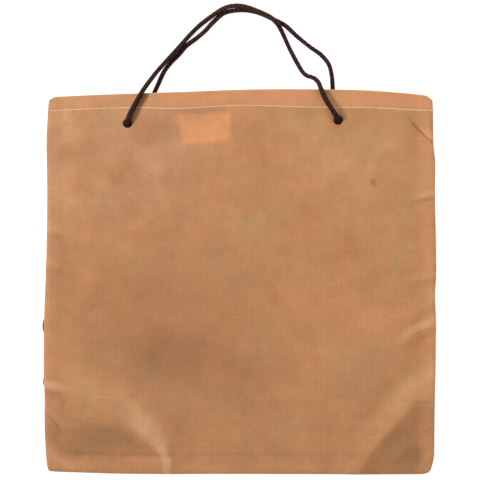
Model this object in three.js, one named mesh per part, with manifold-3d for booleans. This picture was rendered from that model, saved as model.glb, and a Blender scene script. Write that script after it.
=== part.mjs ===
// Flat cloth gift bag: a plain non-woven back panel sewn along three sides to a
// tapestry front panel, with two braided cord handles knotted inside the mouth.
// The bag lies on its tapestry side. Millimetres, +Z up. X runs across the bag,
// +Y towards the mouth, and the origin is the centre of the underside of the
// two panels, on the surface that the bag rests on.
import * as THREE from 'three';
import { mergeVertices } from 'three/addons/utils/BufferGeometryUtils.js';
import Module from 'manifold-3d';

// ---------------------------------------------------------------- dimensions
const PLAIN_THICKNESS = 1.2;      // non-woven cloth, with its bonded loft
const TAPESTRY_THICKNESS = 1.4;   // woven tapestry cloth
const GAP = 0.64;                 // between the two panels where they are sewn together
const SEAM_ROOM = 2.2;            // seam allowances turned inside hold the panels apart
const SEAM_REACH = 3.5;           // how quickly the panels part beside the seam
const PUFF = 3.3;                 // air left in the middle of the empty bag
const PUFF_SIDE = 55;             // distance from a side seam to the full puff
const PUFF_BOTTOM = 60;           // distance from the bottom seam to the full puff
const MOUTH_GAPE = 1.4;           // the mouth stands a little further open
const MOUTH_REACH = 60;
const EDGE_CURL = 0.9;            // the sewn edges lift off the surface
const CURL_REACH = 12;
const FOLD_CARRY = 22;            // the lower panel follows the folds this near a seam
const FULL_HEIGHT = 343.4;        // bottom seam to mouth
const MID_Y = -171.7;             // lowest point of the bottom seam
const TAPESTRY_INSET = 0.4;       // the lower panel stays just inside the upper one
const TAPESTRY_MOUTH_INSET = 1.5;

const CORD_DIAMETER = 4.4;
const CORD_SIDES = 8;
const CORD_STEPS = 40;
const HOLE_DIAMETER = 8.4;
const CORD_CLEARANCE = 0.6;       // room around a cord where it goes through cloth

// Outline of the plain panel. The cloth was cut and turned by hand, so no edge is straight.
const LEFT_EDGE = [
  { y: -171.0, x: -171.5 }, { y: -166.4, x: -172.7 }, { y: -139.2, x: -174.6 },
  { y: -120.0, x: -174.8 }, { y: -100.9, x: -174.8 }, { y: -83.4, x: -175.6 },
  { y: -52.1, x: -175.5 }, { y: -30.7, x: -175.2 }, { y: 2.4, x: -173.9 }, { y: 37.2, x: -172.9 },
  { y: 74.7, x: -172.5 }, { y: 102.4, x: -172.7 }, { y: 129.6, x: -173.0 }, { y: 152.9, x: -171.9 },
  { y: 160.0, x: -171.6 }, { y: 166.0, x: -171.1 }, { y: 172.0, x: -170.5 },
];
const RIGHT_EDGE = [
  { y: -171.0, x: 170.2 }, { y: -166.4, x: 172.4 }, { y: -161.1, x: 173.2 },
  { y: -133.4, x: 173.5 }, { y: -106.3, x: 173.8 }, { y: -85.9, x: 174.4 }, { y: -47.6, x: 174.8 },
  { y: -36.7, x: 174.8 }, { y: -17.3, x: 174.0 }, { y: 1.5, x: 174.9 }, { y: 6.8, x: 175.1 },
  { y: 33.9, x: 174.8 }, { y: 74.7, x: 173.9 }, { y: 109.1, x: 174.0 }, { y: 124.1, x: 172.6 },
  { y: 152.9, x: 172.2 }, { y: 163.0, x: 171.9 }, { y: 172.0, x: 171.3 },
];
const BOTTOM_EDGE = [
  { x: -176.0, y: -168.0 }, { x: -171.5, y: -168.9 }, { x: -168.0, y: -169.5 },
  { x: -146.2, y: -170.4 }, { x: -98.5, y: -171.7 }, { x: -0.2, y: -171.8 },
  { x: 106.4, y: -172.1 }, { x: 160.0, y: -172.0 }, { x: 166.0, y: -171.3 },
  { x: 168.2, y: -170.2 }, { x: 170.2, y: -168.4 }, { x: 172.2, y: -165.2 },
  { x: 176.0, y: -160.0 },
];
const MOUTH_EDGE = [
  { x: -176.0, y: 160.6 }, { x: -171.5, y: 162.6 }, { x: -168.5, y: 164.2 },
  { x: -164.0, y: 165.2 }, { x: -97.0, y: 167.7 }, { x: -48.0, y: 169.4 }, { x: -0.2, y: 171.2 },
  { x: 38.2, y: 171.7 }, { x: 84.6, y: 171.3 }, { x: 113.2, y: 170.6 }, { x: 150.2, y: 168.0 },
  { x: 164.5, y: 166.4 }, { x: 168.5, y: 165.2 }, { x: 171.0, y: 163.6 }, { x: 176.0, y: 160.5 },
];
// Where the tapestry cloth rolls round a side seam and shows past the plain cloth.
const ROLLED_SEAM = [
  { name: 'left_lower_middle', y: -38, half: 8, out: 1.5 },
  { name: 'left_low', y: -90, half: 5, out: 1.1 },
];

// Main folds, as soft ridges (height above 0) and troughs. Each follows its route; left and
// right are the widths of its two sides, seen along the route, and crest rounds its top.
const FOLDS = [
  { name: 'lower_right_ridge', height: 4.2, left: 46, right: 27, crest: 2.5,
    route: [[175, -104], [158, -106.5], [143, -121.5], [125, -141.5], [105, -168.5]] },
  { name: 'right_edge_ridge', height: 2.6, left: 14, right: 13, crest: 1.5,
    route: [[176, -40.5], [165, -43], [154, -47.5], [142, -55.5], [129, -63]] },
  { name: 'right_edge_small_ridge', height: 1.1, left: 10, right: 10, crest: 2,
    route: [[175, -22], [160, -29], [143, -38]] },
  { name: 'right_middle_ridge', height: 1.3, left: 9, right: 12, crest: 1.5,
    route: [[175, 1.5], [156, -0.5], [140, -2.5]] },
  { name: 'right_upper_ridge', height: 1.2, left: 9, right: 14, crest: 1.5,
    route: [[174, 73], [156, 71], [138, 67.5], [116, 66.5]] },
  { name: 'upper_right_corner_ridge', height: 1.8, left: 16, right: 5, crest: 1,
    route: [[148, 150], [158.5, 135.5], [173, 123]] },
  { name: 'left_middle_ridge', height: 1.7, left: 12, right: 12, crest: 1.5,
    route: [[-174, 12], [-161, 12], [-147.5, 9.5], [-134, 1.5]] },
  { name: 'left_upper_ridge', height: 1.2, left: 12, right: 16, crest: 2,
    route: [[-173.5, 44], [-156.5, 42.5], [-138.5, 35.5], [-129.5, 26.5]] },
  { name: 'left_low_ridge', height: 1.7, left: 8, right: 10, crest: 1.5,
    route: [[-175, -95], [-165.5, -95], [-157, -99.5]] },
  { name: 'lower_left_shoulder', height: 1.8, left: 34, right: 42, crest: 8,
    route: [[-150, -97], [-126, -104], [-106, -112]] },
  { name: 'lower_left_ridge', height: 3.0, left: 34, right: 20, crest: 3,
    route: [[-104, -78], [-88, -96], [-74.5, -119], [-63.5, -142], [-60, -169]] },
  { name: 'lower_left_valley', height: -1.8, left: 12, right: 26, crest: 3,
    route: [[-128, -112], [-109, -128], [-89.5, -144], [-74.5, -156], [-70.5, -169]] },
  { name: 'middle_rise', height: 0.8, left: 70, right: 70, crest: 20,
    route: [[-70, 20], [40, -10]] },
];

// Room for the knots, which hold the plain panel up beside the holes.
const KNOT_ROOM = [
  { name: 'left', x: -95, y: 138.5, height: 2.5, radius: 26 },
  { name: 'right', x: 84, y: 138.5, height: 2.5, radius: 26 },
];
// The back cord runs under the lower panel from its holes to the mouth, and lifts it.
const CORD_TUNNEL = [
  { name: 'left', x0: -85.5, y0: 143.5, x1: -76.4, y1: 169.0 },
  { name: 'right', x0: 77.5, y0: 144.0, x1: 82.8, y1: 171.2 },
];
const TUNNEL_HEIGHT = 4.9;
const TUNNEL_HALF = 11.5;
const TUNNEL_RAMP = 7;
const TUNNEL_FOLLOW = 0.1;        // how much of it shows in the plain panel

// Holes in the plain panel.
const PLAIN_HOLES = [
  { name: 'left', x: -100.25, y: 141.15 },
  { name: 'right', x: 87.3, y: 143.9 },
];
const TAPESTRY_HOLES = [
  { name: 'left', x: -85.5, y: 143.5 },
  { name: 'right', x: 77.5, y: 144.0 },
];

const KNOTS = [
  { name: 'front_knot_left', x: -100.9, y: 137.9, z: 4.9 },
  { name: 'front_knot_right', x: 88.5, y: 141.0, z: 4.9 },
  { name: 'back_knot_left', x: -88.2, y: 131.6, z: 4.9 },
  { name: 'back_knot_right', x: 75.0, y: 131.9, z: 4.9 },
];
const KNOT_SIZE = { x: 10.4, y: 10.4, z: 6.2 };

// Route of the front handle's cord, hole to hole.
const FRONT_ROUTE = [
  { x: -100.55, y: 139.25, z: 9.0 }, { x: -100.24, y: 140.98, z: 11.58 },
  { x: -99.73, y: 143.31, z: 13.48 }, { x: -99.04, y: 146.03, z: 14.58 },
  { x: -97.9, y: 149.4, z: 14.79 }, { x: -96.2, y: 152.6, z: 14.1 },
  { x: -94.2, y: 156.7, z: 13.6 }, { x: -87.4, y: 168.9, z: 13.6 }, { x: -85.0, y: 172.7, z: 12.8 },
  { x: -82.6, y: 176.2, z: 11.0 }, { x: -74.8, y: 187.0, z: 6.0 }, { x: -69.6, y: 193.0, z: 5.3 },
  { x: -56.9, y: 206.6, z: 5.5 }, { x: -44.2, y: 221.2, z: 3.9 }, { x: -36.5, y: 228.8, z: 2.7 },
  { x: -27.1, y: 236.0, z: 3.9 }, { x: -15.3, y: 243.7, z: 6.0 }, { x: -8.7, y: 245.8, z: 5.9 },
  { x: -1.6, y: 246.3, z: 5.8 }, { x: 5.1, y: 245.2, z: 6.5 }, { x: 26.3, y: 236.3, z: 7.4 },
  { x: 32.5, y: 230.8, z: 7.1 }, { x: 34.9, y: 227.5, z: 6.4 }, { x: 36.7, y: 224.1, z: 4.8 },
  { x: 39.1, y: 219.2, z: 3.3 }, { x: 44.9, y: 206.6, z: 2.4 }, { x: 55.4, y: 187.7, z: 4.4 },
  { x: 57.7, y: 185.1, z: 5.7 }, { x: 60.5, y: 183.3, z: 7.2 }, { x: 63.8, y: 182.3, z: 9.0 },
  { x: 67.1, y: 180.3, z: 11.1 }, { x: 69.7, y: 177.1, z: 12.6 }, { x: 71.4, y: 173.0, z: 13.4 },
  { x: 76.0, y: 162.4, z: 14.1 }, { x: 81.9, y: 153.1, z: 15.6 }, { x: 83.88, y: 149.81, z: 15.71 },
  { x: 85.72, y: 146.73, z: 14.56 }, { x: 87.12, y: 144.11, z: 12.27 },
  { x: 88.0, y: 142.2, z: 9.0 },
];
// Route of the back handle's cord: down through the lower panel, out under the mouth.
const BACK_ROUTE = [
  { x: -87.1, y: 138.2, z: 5.6 }, { x: -85.7, y: 143.5, z: 3.5 }, { x: -83.5, y: 150.0, z: 2.35 },
  { x: -80.4, y: 159.5, z: 2.3 }, { x: -76.8, y: 168.9, z: 2.3 }, { x: -73.5, y: 176.1, z: 2.3 },
  { x: -70.6, y: 182.6, z: 2.3 }, { x: -67.35, y: 188.95, z: 2.3 },
  { x: -61.65, y: 196.15, z: 2.3 }, { x: -55.05, y: 202.9, z: 2.3 },
  { x: -48.55, y: 210.45, z: 2.3 }, { x: -39.3, y: 217.4, z: 2.3 }, { x: -31.1, y: 224.4, z: 2.3 },
  { x: -24.5, y: 231.6, z: 2.3 }, { x: -14.8, y: 239.9, z: 2.3 }, { x: -3.4, y: 242.5, z: 2.3 },
  { x: 7.4, y: 242.4, z: 2.3 }, { x: 18.0, y: 239.8, z: 2.3 }, { x: 28.8, y: 234.8, z: 2.3 },
  { x: 39.9, y: 229.1, z: 2.3 }, { x: 51.0, y: 219.0, z: 2.3 }, { x: 62.1, y: 210.0, z: 2.3 },
  { x: 72.4, y: 202.5, z: 2.3 }, { x: 79.2, y: 194.0, z: 2.3 }, { x: 81.6, y: 185.0, z: 2.3 },
  { x: 82.5, y: 176.0, z: 2.3 }, { x: 82.6, y: 163.5, z: 2.3 }, { x: 79.9, y: 151.5, z: 2.35 },
  { x: 77.7, y: 144.0, z: 3.5 }, { x: 76.3, y: 138.5, z: 5.6 },
];

// ---------------------------------------------------------------- helpers
const smooth = (t) => (t <= 0 ? 0 : t >= 1 ? 1 : t * t * (3 - 2 * t));
const rise = (t) => (t <= 0 ? 0 : t >= 1 ? 1 : Math.sin((t * Math.PI) / 2));

// Smooth curve through a table: column `of` against column `by`.
function along(table, by, of, at) {
  const last = table.length - 1;
  if (at <= table[0][by]) return table[0][of];
  if (at >= table[last][by]) return table[last][of];
  let i = 0;
  while (at > table[i + 1][by]) i++;
  const slope = (k) => {
    const a = table[Math.max(k - 1, 0)], b = table[Math.min(k + 1, last)];
    return (b[of] - a[of]) / (b[by] - a[by]);
  };
  const p = table[i], q = table[i + 1], w = q[by] - p[by], t = (at - p[by]) / w;
  const t2 = t * t, t3 = t2 * t;
  return (2 * t3 - 3 * t2 + 1) * p[of] + (t3 - 2 * t2 + t) * w * slope(i)
    + (3 * t2 - 2 * t3) * q[of] + (t3 - t2) * w * slope(i + 1);
}
const left = (y) => along(LEFT_EDGE, 'y', 'x', y);
const right = (y) => along(RIGHT_EDGE, 'y', 'x', y);
const bottom = (x) => along(BOTTOM_EDGE, 'x', 'y', x);
const mouth = (x) => along(MOUTH_EDGE, 'x', 'y', x);

// Height of one fold at a point: a tent with a rounded crest and a soft foot.
function fold(f, x, y) {
  let best = Infinity, side = 1;
  for (let i = 0; i + 1 < f.route.length; i++) {
    const [ax, ay] = f.route[i], [bx, by] = f.route[i + 1];
    const ux = bx - ax, uy = by - ay, long = ux * ux + uy * uy;
    const t = Math.min(1, Math.max(0, ((x - ax) * ux + (y - ay) * uy) / long));
    const dx = x - ax - t * ux, dy = y - ay - t * uy, d = Math.hypot(dx, dy);
    if (d < best) { best = d; side = ux * dy - uy * dx; }
  }
  const w = side > 0 ? f.left : f.right;
  if (best >= w) return 0;
  const c = f.crest, t = 1 - (Math.hypot(best, c) - c) / (Math.hypot(w, c) - c);
  return f.height * t * t * (1.5 - 0.5 * t);
}
const folds = (x, y) => FOLDS.reduce((sum, f) => sum + fold(f, x, y), 0);

function tunnel(x, y) {
  let most = 0;
  for (const c of CORD_TUNNEL) {
    const ux = c.x1 - c.x0, uy = c.y1 - c.y0, long = Math.hypot(ux, uy);
    const s = ((x - c.x0) * ux + (y - c.y0) * uy) / long;
    const d = Math.abs((x - c.x0) * uy - (y - c.y0) * ux) / long;
    if (d < TUNNEL_HALF)
      most = Math.max(most, TUNNEL_HEIGHT * Math.cos((Math.PI / 2) * (d / TUNNEL_HALF)) ** 2
        * smooth((s + TUNNEL_RAMP) / (2 * TUNNEL_RAMP)));
  }
  return most;
}
const knotRoom = (x, y) => KNOT_ROOM.reduce((sum, k) => {
  const d = Math.hypot(x - k.x, y - k.y) / k.radius;
  return sum + (d < 1 ? k.height * Math.cos((Math.PI / 2) * d) ** 2 : 0);
}, 0);

const fromSeam = (x, y) => Math.max(0, Math.min(x - left(y), right(y) - x, y - bottom(x)));

// Underside of the lower panel, without the cord tunnels: flat on the surface away from the seams.
function rest(x, y) {
  const d = fromSeam(x, y);
  return EDGE_CURL * (1 - smooth(d / CURL_REACH))
    + Math.max(0, folds(x, y)) * (1 - smooth(d / FOLD_CARRY));
}
const tapestryUnder = (x, y) => Math.max(rest(x, y), tunnel(x, y));
const tapestryTop = (x, y) => tapestryUnder(x, y) + TAPESTRY_THICKNESS;

function plainUnder(x, y) {
  const dl = Math.max(0, x - left(y)), dr = Math.max(0, right(y) - x), db = Math.max(0, y - bottom(x));
  const part = (d) => 1 - Math.exp(-d / SEAM_REACH);
  const room = SEAM_ROOM * part(dl) * part(dr) * part(db);
  const puff = PUFF * rise(dl / PUFF_SIDE) * rise(dr / PUFF_SIDE) * rise(db / PUFF_BOTTOM);
  const gape = MOUTH_GAPE * rise(dl / 90) * rise(dr / 90) * smooth(1 - (mouth(x) - y) / MOUTH_REACH);
  const f = folds(x, y), d = fromSeam(x, y);
  const own = f > 0 ? f * smooth(d / FOLD_CARRY) : f * rise(d / FOLD_CARRY);
  const z = rest(x, y) + TAPESTRY_THICKNESS + GAP + room + puff + gape + own
    + knotRoom(x, y) + TUNNEL_FOLLOW * tunnel(x, y);
  return Math.max(z, tapestryTop(x, y) + GAP);
}
const plainTop = (x, y) => plainUnder(x, y) + PLAIN_THICKNESS;

// A sheet of cloth: a box with many segments, its vertices moved onto the sheet's two faces.
// Columns are given across the cloth from 0 to 1, rows from the bottom seam to the mouth.
function sheet({ columns, rows, edges, under, top }) {
  const g = new THREE.BoxGeometry(1, 1, 1, columns.length - 1, rows.length - 1, 1);
  g.deleteAttribute('normal');
  g.deleteAttribute('uv');
  const p = g.attributes.position;
  for (let i = 0; i < p.count; i++) {
    const u = columns[Math.round((p.getX(i) + 0.5) * (columns.length - 1))];
    const v = rows[Math.round((p.getY(i) + 0.5) * (rows.length - 1))];
    const [x, y] = edges(u, v);
    p.setXYZ(i, x, y, p.getZ(i) > 0 ? top(x, y) : under(x, y));
  }
  return mergeVertices(g, 1e-4);
}

// Stations from one edge to the other: closer beside the seams, even between.
function stations(length, near, step) {
  const inner = length - 2 * near[near.length - 1], n = Math.round(inner / step);
  const out = [...near];
  for (let i = 1; i < n; i++) out.push(near[near.length - 1] + (inner * i) / n);
  for (let i = near.length - 1; i >= 0; i--) out.push(length - near[i]);
  return out.map((s) => s / length);
}
const plainEdges = (u, v) => {
  const y0 = MID_Y + FULL_HEIGHT * v, x = left(y0) + (right(y0) - left(y0)) * u;
  return [x, bottom(x) + (mouth(x) - bottom(x)) * v];
};
const tapestryEdges = (u, v) => {
  const y0 = MID_Y + FULL_HEIGHT * v;
  const out = ROLLED_SEAM.reduce((m, r) => Math.max(m, (r.out + TAPESTRY_INSET)
    * Math.max(0, 1 - Math.abs((y0 - r.y) / r.half) ** 2)), 0);
  const l = left(y0) + TAPESTRY_INSET - out, r = right(y0) - TAPESTRY_INSET;
  const x = l + (r - l) * u, b = bottom(x) + TAPESTRY_INSET, m = mouth(x) - TAPESTRY_MOUTH_INSET;
  return [x, b + (m - b) * v];
};

// ---------------------------------------------------------------- manifold helpers
const wasm = await Module();
wasm.setup();
function solid(geometry) {
  const g = geometry.clone();
  g.deleteAttribute('normal');
  g.deleteAttribute('uv');
  const m = mergeVertices(g, 1e-4);
  return new wasm.Manifold(new wasm.Mesh({
    numProp: 3,
    vertProperties: new Float32Array(m.attributes.position.array),
    triVerts: new Uint32Array(m.index.array),
  }));
}
function geometryOf(manifold) {
  const m = manifold.getMesh();
  const v = new Float32Array(m.numVert * 3);
  for (let i = 0; i < m.numVert; i++) v.set(m.vertProperties.subarray(i * m.numProp, i * m.numProp + 3), i * 3);
  const g = new THREE.BufferGeometry();
  g.setAttribute('position', new THREE.BufferAttribute(v, 3));
  g.setIndex(new THREE.BufferAttribute(new Uint32Array(m.triVerts), 1));
  g.computeVertexNormals();
  return g;
}
const punch = (h) => {
  const g = new THREE.CylinderGeometry(HOLE_DIAMETER / 2, HOLE_DIAMETER / 2, 40, 16);
  g.rotateX(Math.PI / 2);
  g.translate(h.x, h.y, 5);
  return solid(g);
};

// ---------------------------------------------------------------- cords and knots
const curveOf = (route) => new THREE.CatmullRomCurve3(
  route.map((p) => new THREE.Vector3(p.x, p.y, p.z)), false, 'centripetal');
function tube(curve, radius, steps) {
  const ring = new THREE.Shape();
  for (let i = 0; i < CORD_SIDES; i++) {
    const a = ((i + 0.5) / CORD_SIDES) * 2 * Math.PI;
    if (i) ring.lineTo(radius * Math.cos(a), radius * Math.sin(a));
    else ring.moveTo(radius * Math.cos(a), radius * Math.sin(a));
  }
  ring.closePath();
  return new THREE.ExtrudeGeometry(ring, { steps, extrudePath: curve, bevelEnabled: false });
}
// The outer form of a pulled-tight overhand knot: a flattened ball with three lobes.
function knot(k) {
  const g = new THREE.SphereGeometry(1, 15, 9);
  g.deleteAttribute('normal');
  g.deleteAttribute('uv');
  const p = g.attributes.position;
  for (let i = 0; i < p.count; i++) {
    const x = p.getX(i), y = p.getZ(i), z = p.getY(i), a = Math.atan2(y, x);
    const lobe = 1 - 0.1 * (1 - Math.cos(3 * a)) * (1 - z * z);
    p.setXYZ(i, (-x * lobe * KNOT_SIZE.x) / 2, (y * lobe * KNOT_SIZE.y) / 2, (z * KNOT_SIZE.z) / 2);
  }
  return mergeVertices(g, 1e-4);
}

// ---------------------------------------------------------------- the pieces
const frontCurve = curveOf(FRONT_ROUTE), backCurve = curveOf(BACK_ROUTE);

const plainColumns = stations(346, [0, 2.5, 7, 14], 12.4);
const plainRows = stations(342, [0, 2.5, 7, 14], 12.2);
const TAPESTRY_COLUMN_X = [
  -173, -170.5, -166, -159, -142, -120, -101, -93, -87, -82, -77, -72, -65, -45, -15, 15, 45,
  64, 71, 76, 80, 84, 89, 96, 115, 140, 159, 166, 170.5, 173,
];
const TAPESTRY_MOUTH_ROW_Y = [120, 131, 137, 141, 145, 149, 154, 160, 166, 171.7];
const share = (list) => list.map((s) => (s - list[0]) / (list[list.length - 1] - list[0]));
// The lower panel has the plain panel's rows up to the cord tunnels, and closer ones past them.
const tapestryRows = [
  ...plainRows.filter((v) => v * FULL_HEIGHT + MID_Y < TAPESTRY_MOUTH_ROW_Y[0] - 4),
  ...TAPESTRY_MOUTH_ROW_Y.map((y) => (y - MID_Y) / FULL_HEIGHT),
];

let plain = solid(sheet({ columns: plainColumns, rows: plainRows, edges: plainEdges, under: plainUnder, top: plainTop }));
for (const h of PLAIN_HOLES) plain = plain.subtract(punch(h));
let tapestry = solid(sheet({
  columns: share(TAPESTRY_COLUMN_X), rows: tapestryRows,
  edges: tapestryEdges, under: tapestryUnder, top: tapestryTop,
}));
for (const h of TAPESTRY_HOLES) tapestry = tapestry.subtract(punch(h));
tapestry = tapestry.subtract(solid(tube(backCurve, CORD_DIAMETER / 2 + CORD_CLEARANCE, 90)));

const group = new THREE.Group();
function add(name, geometry, colour, roughness) {
  const mesh = new THREE.Mesh(geometry, new THREE.MeshStandardMaterial({ color: colour, roughness, metalness: 0 }));
  mesh.name = name;
  group.add(mesh);
  return mesh;
}
add('plain_panel', geometryOf(plain), 0xc48f65, 0.85);
add('tapestry_panel', geometryOf(tapestry), 0x5c4434, 0.95);
add('front_handle', tube(frontCurve, CORD_DIAMETER / 2, CORD_STEPS), 0x38292a, 0.7);
add('back_handle', tube(backCurve, CORD_DIAMETER / 2, CORD_STEPS), 0x38292a, 0.7);
for (const k of KNOTS) add(k.name, knot(k), 0x38292a, 0.7).position.set(k.x, k.y, k.z);

export default group;
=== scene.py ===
# Looks of a flat cloth gift bag with two braided cord handles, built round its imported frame.
# Sizes in the tables are millimetres in the row frame; meshes are written in metres.
import math

import bpy
import numpy as np
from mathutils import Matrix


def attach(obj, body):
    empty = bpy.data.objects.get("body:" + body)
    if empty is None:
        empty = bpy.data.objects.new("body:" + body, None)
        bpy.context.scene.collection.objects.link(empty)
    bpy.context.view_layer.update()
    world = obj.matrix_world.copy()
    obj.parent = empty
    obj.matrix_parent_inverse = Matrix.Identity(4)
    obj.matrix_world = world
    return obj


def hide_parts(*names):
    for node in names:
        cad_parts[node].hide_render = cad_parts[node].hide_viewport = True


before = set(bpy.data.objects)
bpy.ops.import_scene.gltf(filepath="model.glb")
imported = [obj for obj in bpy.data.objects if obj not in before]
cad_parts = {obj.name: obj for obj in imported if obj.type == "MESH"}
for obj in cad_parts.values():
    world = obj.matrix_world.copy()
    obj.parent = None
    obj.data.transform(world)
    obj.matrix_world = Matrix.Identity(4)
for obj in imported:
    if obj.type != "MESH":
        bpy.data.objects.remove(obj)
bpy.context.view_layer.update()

MM = 0.001

# ------------------------------------------------------------------ camera
# Straight above the bag, as it lies; the picture is 428.7 mm across at the height of the bag's edges.
PICTURE_WIDTH = 0.4287
PICTURE_CENTRE = (-0.00022, 0.0372)
EDGE_HEIGHT = 0.0045
LENS, SENSOR = 200.0, 36.0
camera_data = bpy.data.cameras.new("camera")
camera_data.lens, camera_data.sensor_width = LENS, SENSOR
camera = bpy.data.objects.new("camera", camera_data)
bpy.context.scene.collection.objects.link(camera)
camera.location = (*PICTURE_CENTRE, EDGE_HEIGHT + PICTURE_WIDTH * LENS / SENSOR)
camera_data.clip_start, camera_data.clip_end = 0.1, 60
bpy.context.scene.camera = camera
bpy.context.scene.view_settings.view_transform = "Standard"
bpy.context.scene.view_settings.look = "None"

# ------------------------------------------------------------------ the CAD's tables
PLAIN_THICKNESS, TAPESTRY_THICKNESS, GAP = 1.2, 1.4, 0.64
SEAM_ROOM, SEAM_REACH = 1.0, 9.0
PUFF, PUFF_SIDE, PUFF_BOTTOM = 3.0, 70, 70
MOUTH_GAPE, MOUTH_REACH, MOUTH_LIFT = 1.4, 60, 1.5
EDGE_CURL, CURL_REACH, FOLD_CARRY = 1.6, 14, 22
TAPESTRY_INSET, TAPESTRY_MOUTH_INSET = 0.4, 1.5
CORD_DIAMETER = 4.4
HOLE_RADIUS = 4.05

# y, x
LEFT_EDGE = [
    (-171.0, -171.5), (-166.4, -172.7), (-139.2, -174.6), (-120.0, -174.8), (-100.9, -174.8),
    (-83.4, -175.6), (-52.1, -175.5), (-30.7, -175.2), (2.4, -173.9), (37.2, -172.9),
    (74.7, -172.5), (102.4, -172.7), (129.6, -173.0), (152.9, -171.9), (160.0, -171.6),
    (166.0, -171.1), (172.0, -170.5),
]
RIGHT_EDGE = [
    (-171.0, 170.2), (-166.4, 172.4), (-161.1, 173.2), (-133.4, 173.5), (-106.3, 173.8),
    (-85.9, 174.4), (-47.6, 174.8), (-36.7, 174.8), (-17.3, 174.0), (1.5, 174.9), (6.8, 175.1),
    (33.9, 174.8), (74.7, 173.9), (109.1, 174.0), (124.1, 172.6), (152.9, 172.2), (163.0, 171.9),
    (172.0, 171.3),
]
# x, y
BOTTOM_EDGE = [
    (-176.0, -168.0), (-171.5, -168.9), (-168.0, -169.5), (-146.2, -170.4), (-98.5, -171.7),
    (-0.2, -171.8), (106.4, -172.1), (160.0, -172.0), (166.0, -171.3), (168.2, -170.2),
    (170.2, -168.4), (172.2, -165.2), (176.0, -160.0),
]
MOUTH_EDGE = [
    (-176.0, 160.6), (-171.5, 162.6), (-168.5, 164.2), (-164.0, 165.2), (-97.0, 167.7),
    (-48.0, 169.4), (-0.2, 171.2), (38.2, 171.7), (84.6, 171.3), (113.2, 170.6), (150.2, 168.0),
    (164.5, 166.4), (168.5, 165.2), (171.0, 163.6), (176.0, 160.5),
]
# name, y, half, out
ROLLED_SEAM = [("left_lower_middle", -38, 8, 1.5), ("left_low", -90, 5, 1.1)]
# The look's own folds, finer than the CAD's: name, [(x, y, height)], crest, then how wide and how hollow the slope is
# to the left of the line and to its right
LOOK_FOLDS = [
    ("lower_right", [(175.7, -104.8, 1.4), (165.9, -105.7, 2.2), (157.9, -108.4, 2.8), (150.7, -113.7, 3.3),
        (142.7, -122.7, 3.7), (133.7, -132.5, 3.9), (124.8, -142.3, 3.9), (115.0, -155.7, 3.8),
        (106.1, -170.9, 3.2)], 1.0, (34, 2.2), (26, 1.2)),
    ("right_edge", [(175.7, -42.0, 1.2), (167.7, -43.8, 1.3), (160.5, -47.0, 1.1), (154.3, -51.0, 0.7),
        (148.0, -56.5, 0.3), (141.8, -63.0, 0.1)], 0.8, (9, 2.2), (18, 1.3)),
    ("right_edge_small", [(175.7, -18.2, 0.7), (166.8, -22.6, 0.9), (157.0, -28.9, 0.8), (148.0, -39.6, 0.5),
        (141.8, -53.0, 0.1)], 1.2, (8, 1.8), (11, 1.3)),
    ("right_middle", [(175.7, 3.3, 1.0), (167.7, 2.4, 1.2), (156.1, 0.6, 0.9), (144.5, -2.1, 0.1)], 0.9, (9, 2.4), (8, 1.3)),
    ("right_upper", [(175.7, 77.4, 0.9), (166.8, 75.6, 1.0), (157.9, 73.4, 0.7), (149.8, 71.1, 0.1)], 0.6, (6, 2.6), (9, 1.2)),
    ("upper_right_corner", [(147.6, 152.5, -0.1), (150.3, 146.8, -0.5), (153.7, 141.2, -1.1), (157.8, 136.5, -1.5),
        (162.6, 131.7, -1.7), (166.7, 127.6, -1.7), (171.5, 123.7, -1.4), (176.5, 119.5, -1.1)], 0.6, (14, 1.3), (4.4, 1.4)),
    ("left_middle", [(-178.8, 45.2, 1.6), (-169.9, 44.3, 1.8), (-159.2, 41.7, 1.6), (-148.5, 37.2, 1.1),
        (-137.8, 31.8, 0.5), (-131.5, 26.5, 0.1)], 0.9, (15, 1.3), (10, 2.4)),
    ("left_upper", [(-178.8, 14.0, 1.6), (-169.9, 13.1, 1.8), (-161.0, 10.4, 1.3), (-152.1, 6.8, 0.7),
        (-144.0, 1.5, 0.1)], 0.8, (8, 1.3), (12, 2.2)),
    ("left_low", [(-178.8, -95.9, 1.8), (-169.9, -96.8, 2.2), (-163.7, -98.6, 1.6), (-157.4, -101.2, 0.2)], 0.8, (8, 1.2), (6, 1.8)),
    ("left_bottom", [(-178.0, -112.0, 1.2), (-172.6, -117.3, 1.9), (-166.3, -125.3, 1.9),
        (-159.2, -135.2, 1.4), (-152.9, -145.9, 0.3)], 0.8, (10, 1.3), (5, 1.8)),
    ("left_corner", [(-171.7, -149.4, 0.2), (-160.0, -158.0, 1.0), (-148.5, -166.4, 0.9)], 1.0, (7, 1.4), (9, 1.6)),
    ("lower_left", [(-107.0, -69.1, 0.2), (-102.5, -87.8, 1.1), (-96.0, -103.0, 2.0), (-86.0, -119.1, 2.9),
        (-73.5, -134.6, 3.5), (-65.3, -146.0, 3.4), (-61.8, -156.6, 2.6), (-63.5, -170.9, 1.5)], 2.0, (24, 1.3), (24, 1.9)),
    ("lower_left_hollow", [(-161.0, -123.6, -0.4), (-143.1, -130.7, -1.2), (-120.8, -137.0, -1.8),
        (-98.5, -145.0, -1.5), (-78.8, -153.0, -0.8)], 4.0, (16, 1.6), (18, 1.6)),
    ("lower_left_shoulder", [(-162.8, -86.1, 0.6), (-147.6, -87.8, 1.6), (-129.7, -94.1, 1.9),
        (-114.5, -102.1, 1.2)], 6.0, (24, 1.6), (30, 1.8)),
    ("middle_rise", [(-61.0, 19.3, 0.8), (40.0, -9.2, 0.8)], 20.0, (70, 2.0), (70, 2.0)),
]
# x, y, height, radius
KNOT_ROOM = [(-95, 138.5, 2.5, 26), (84, 138.5, 2.5, 26)]
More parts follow.
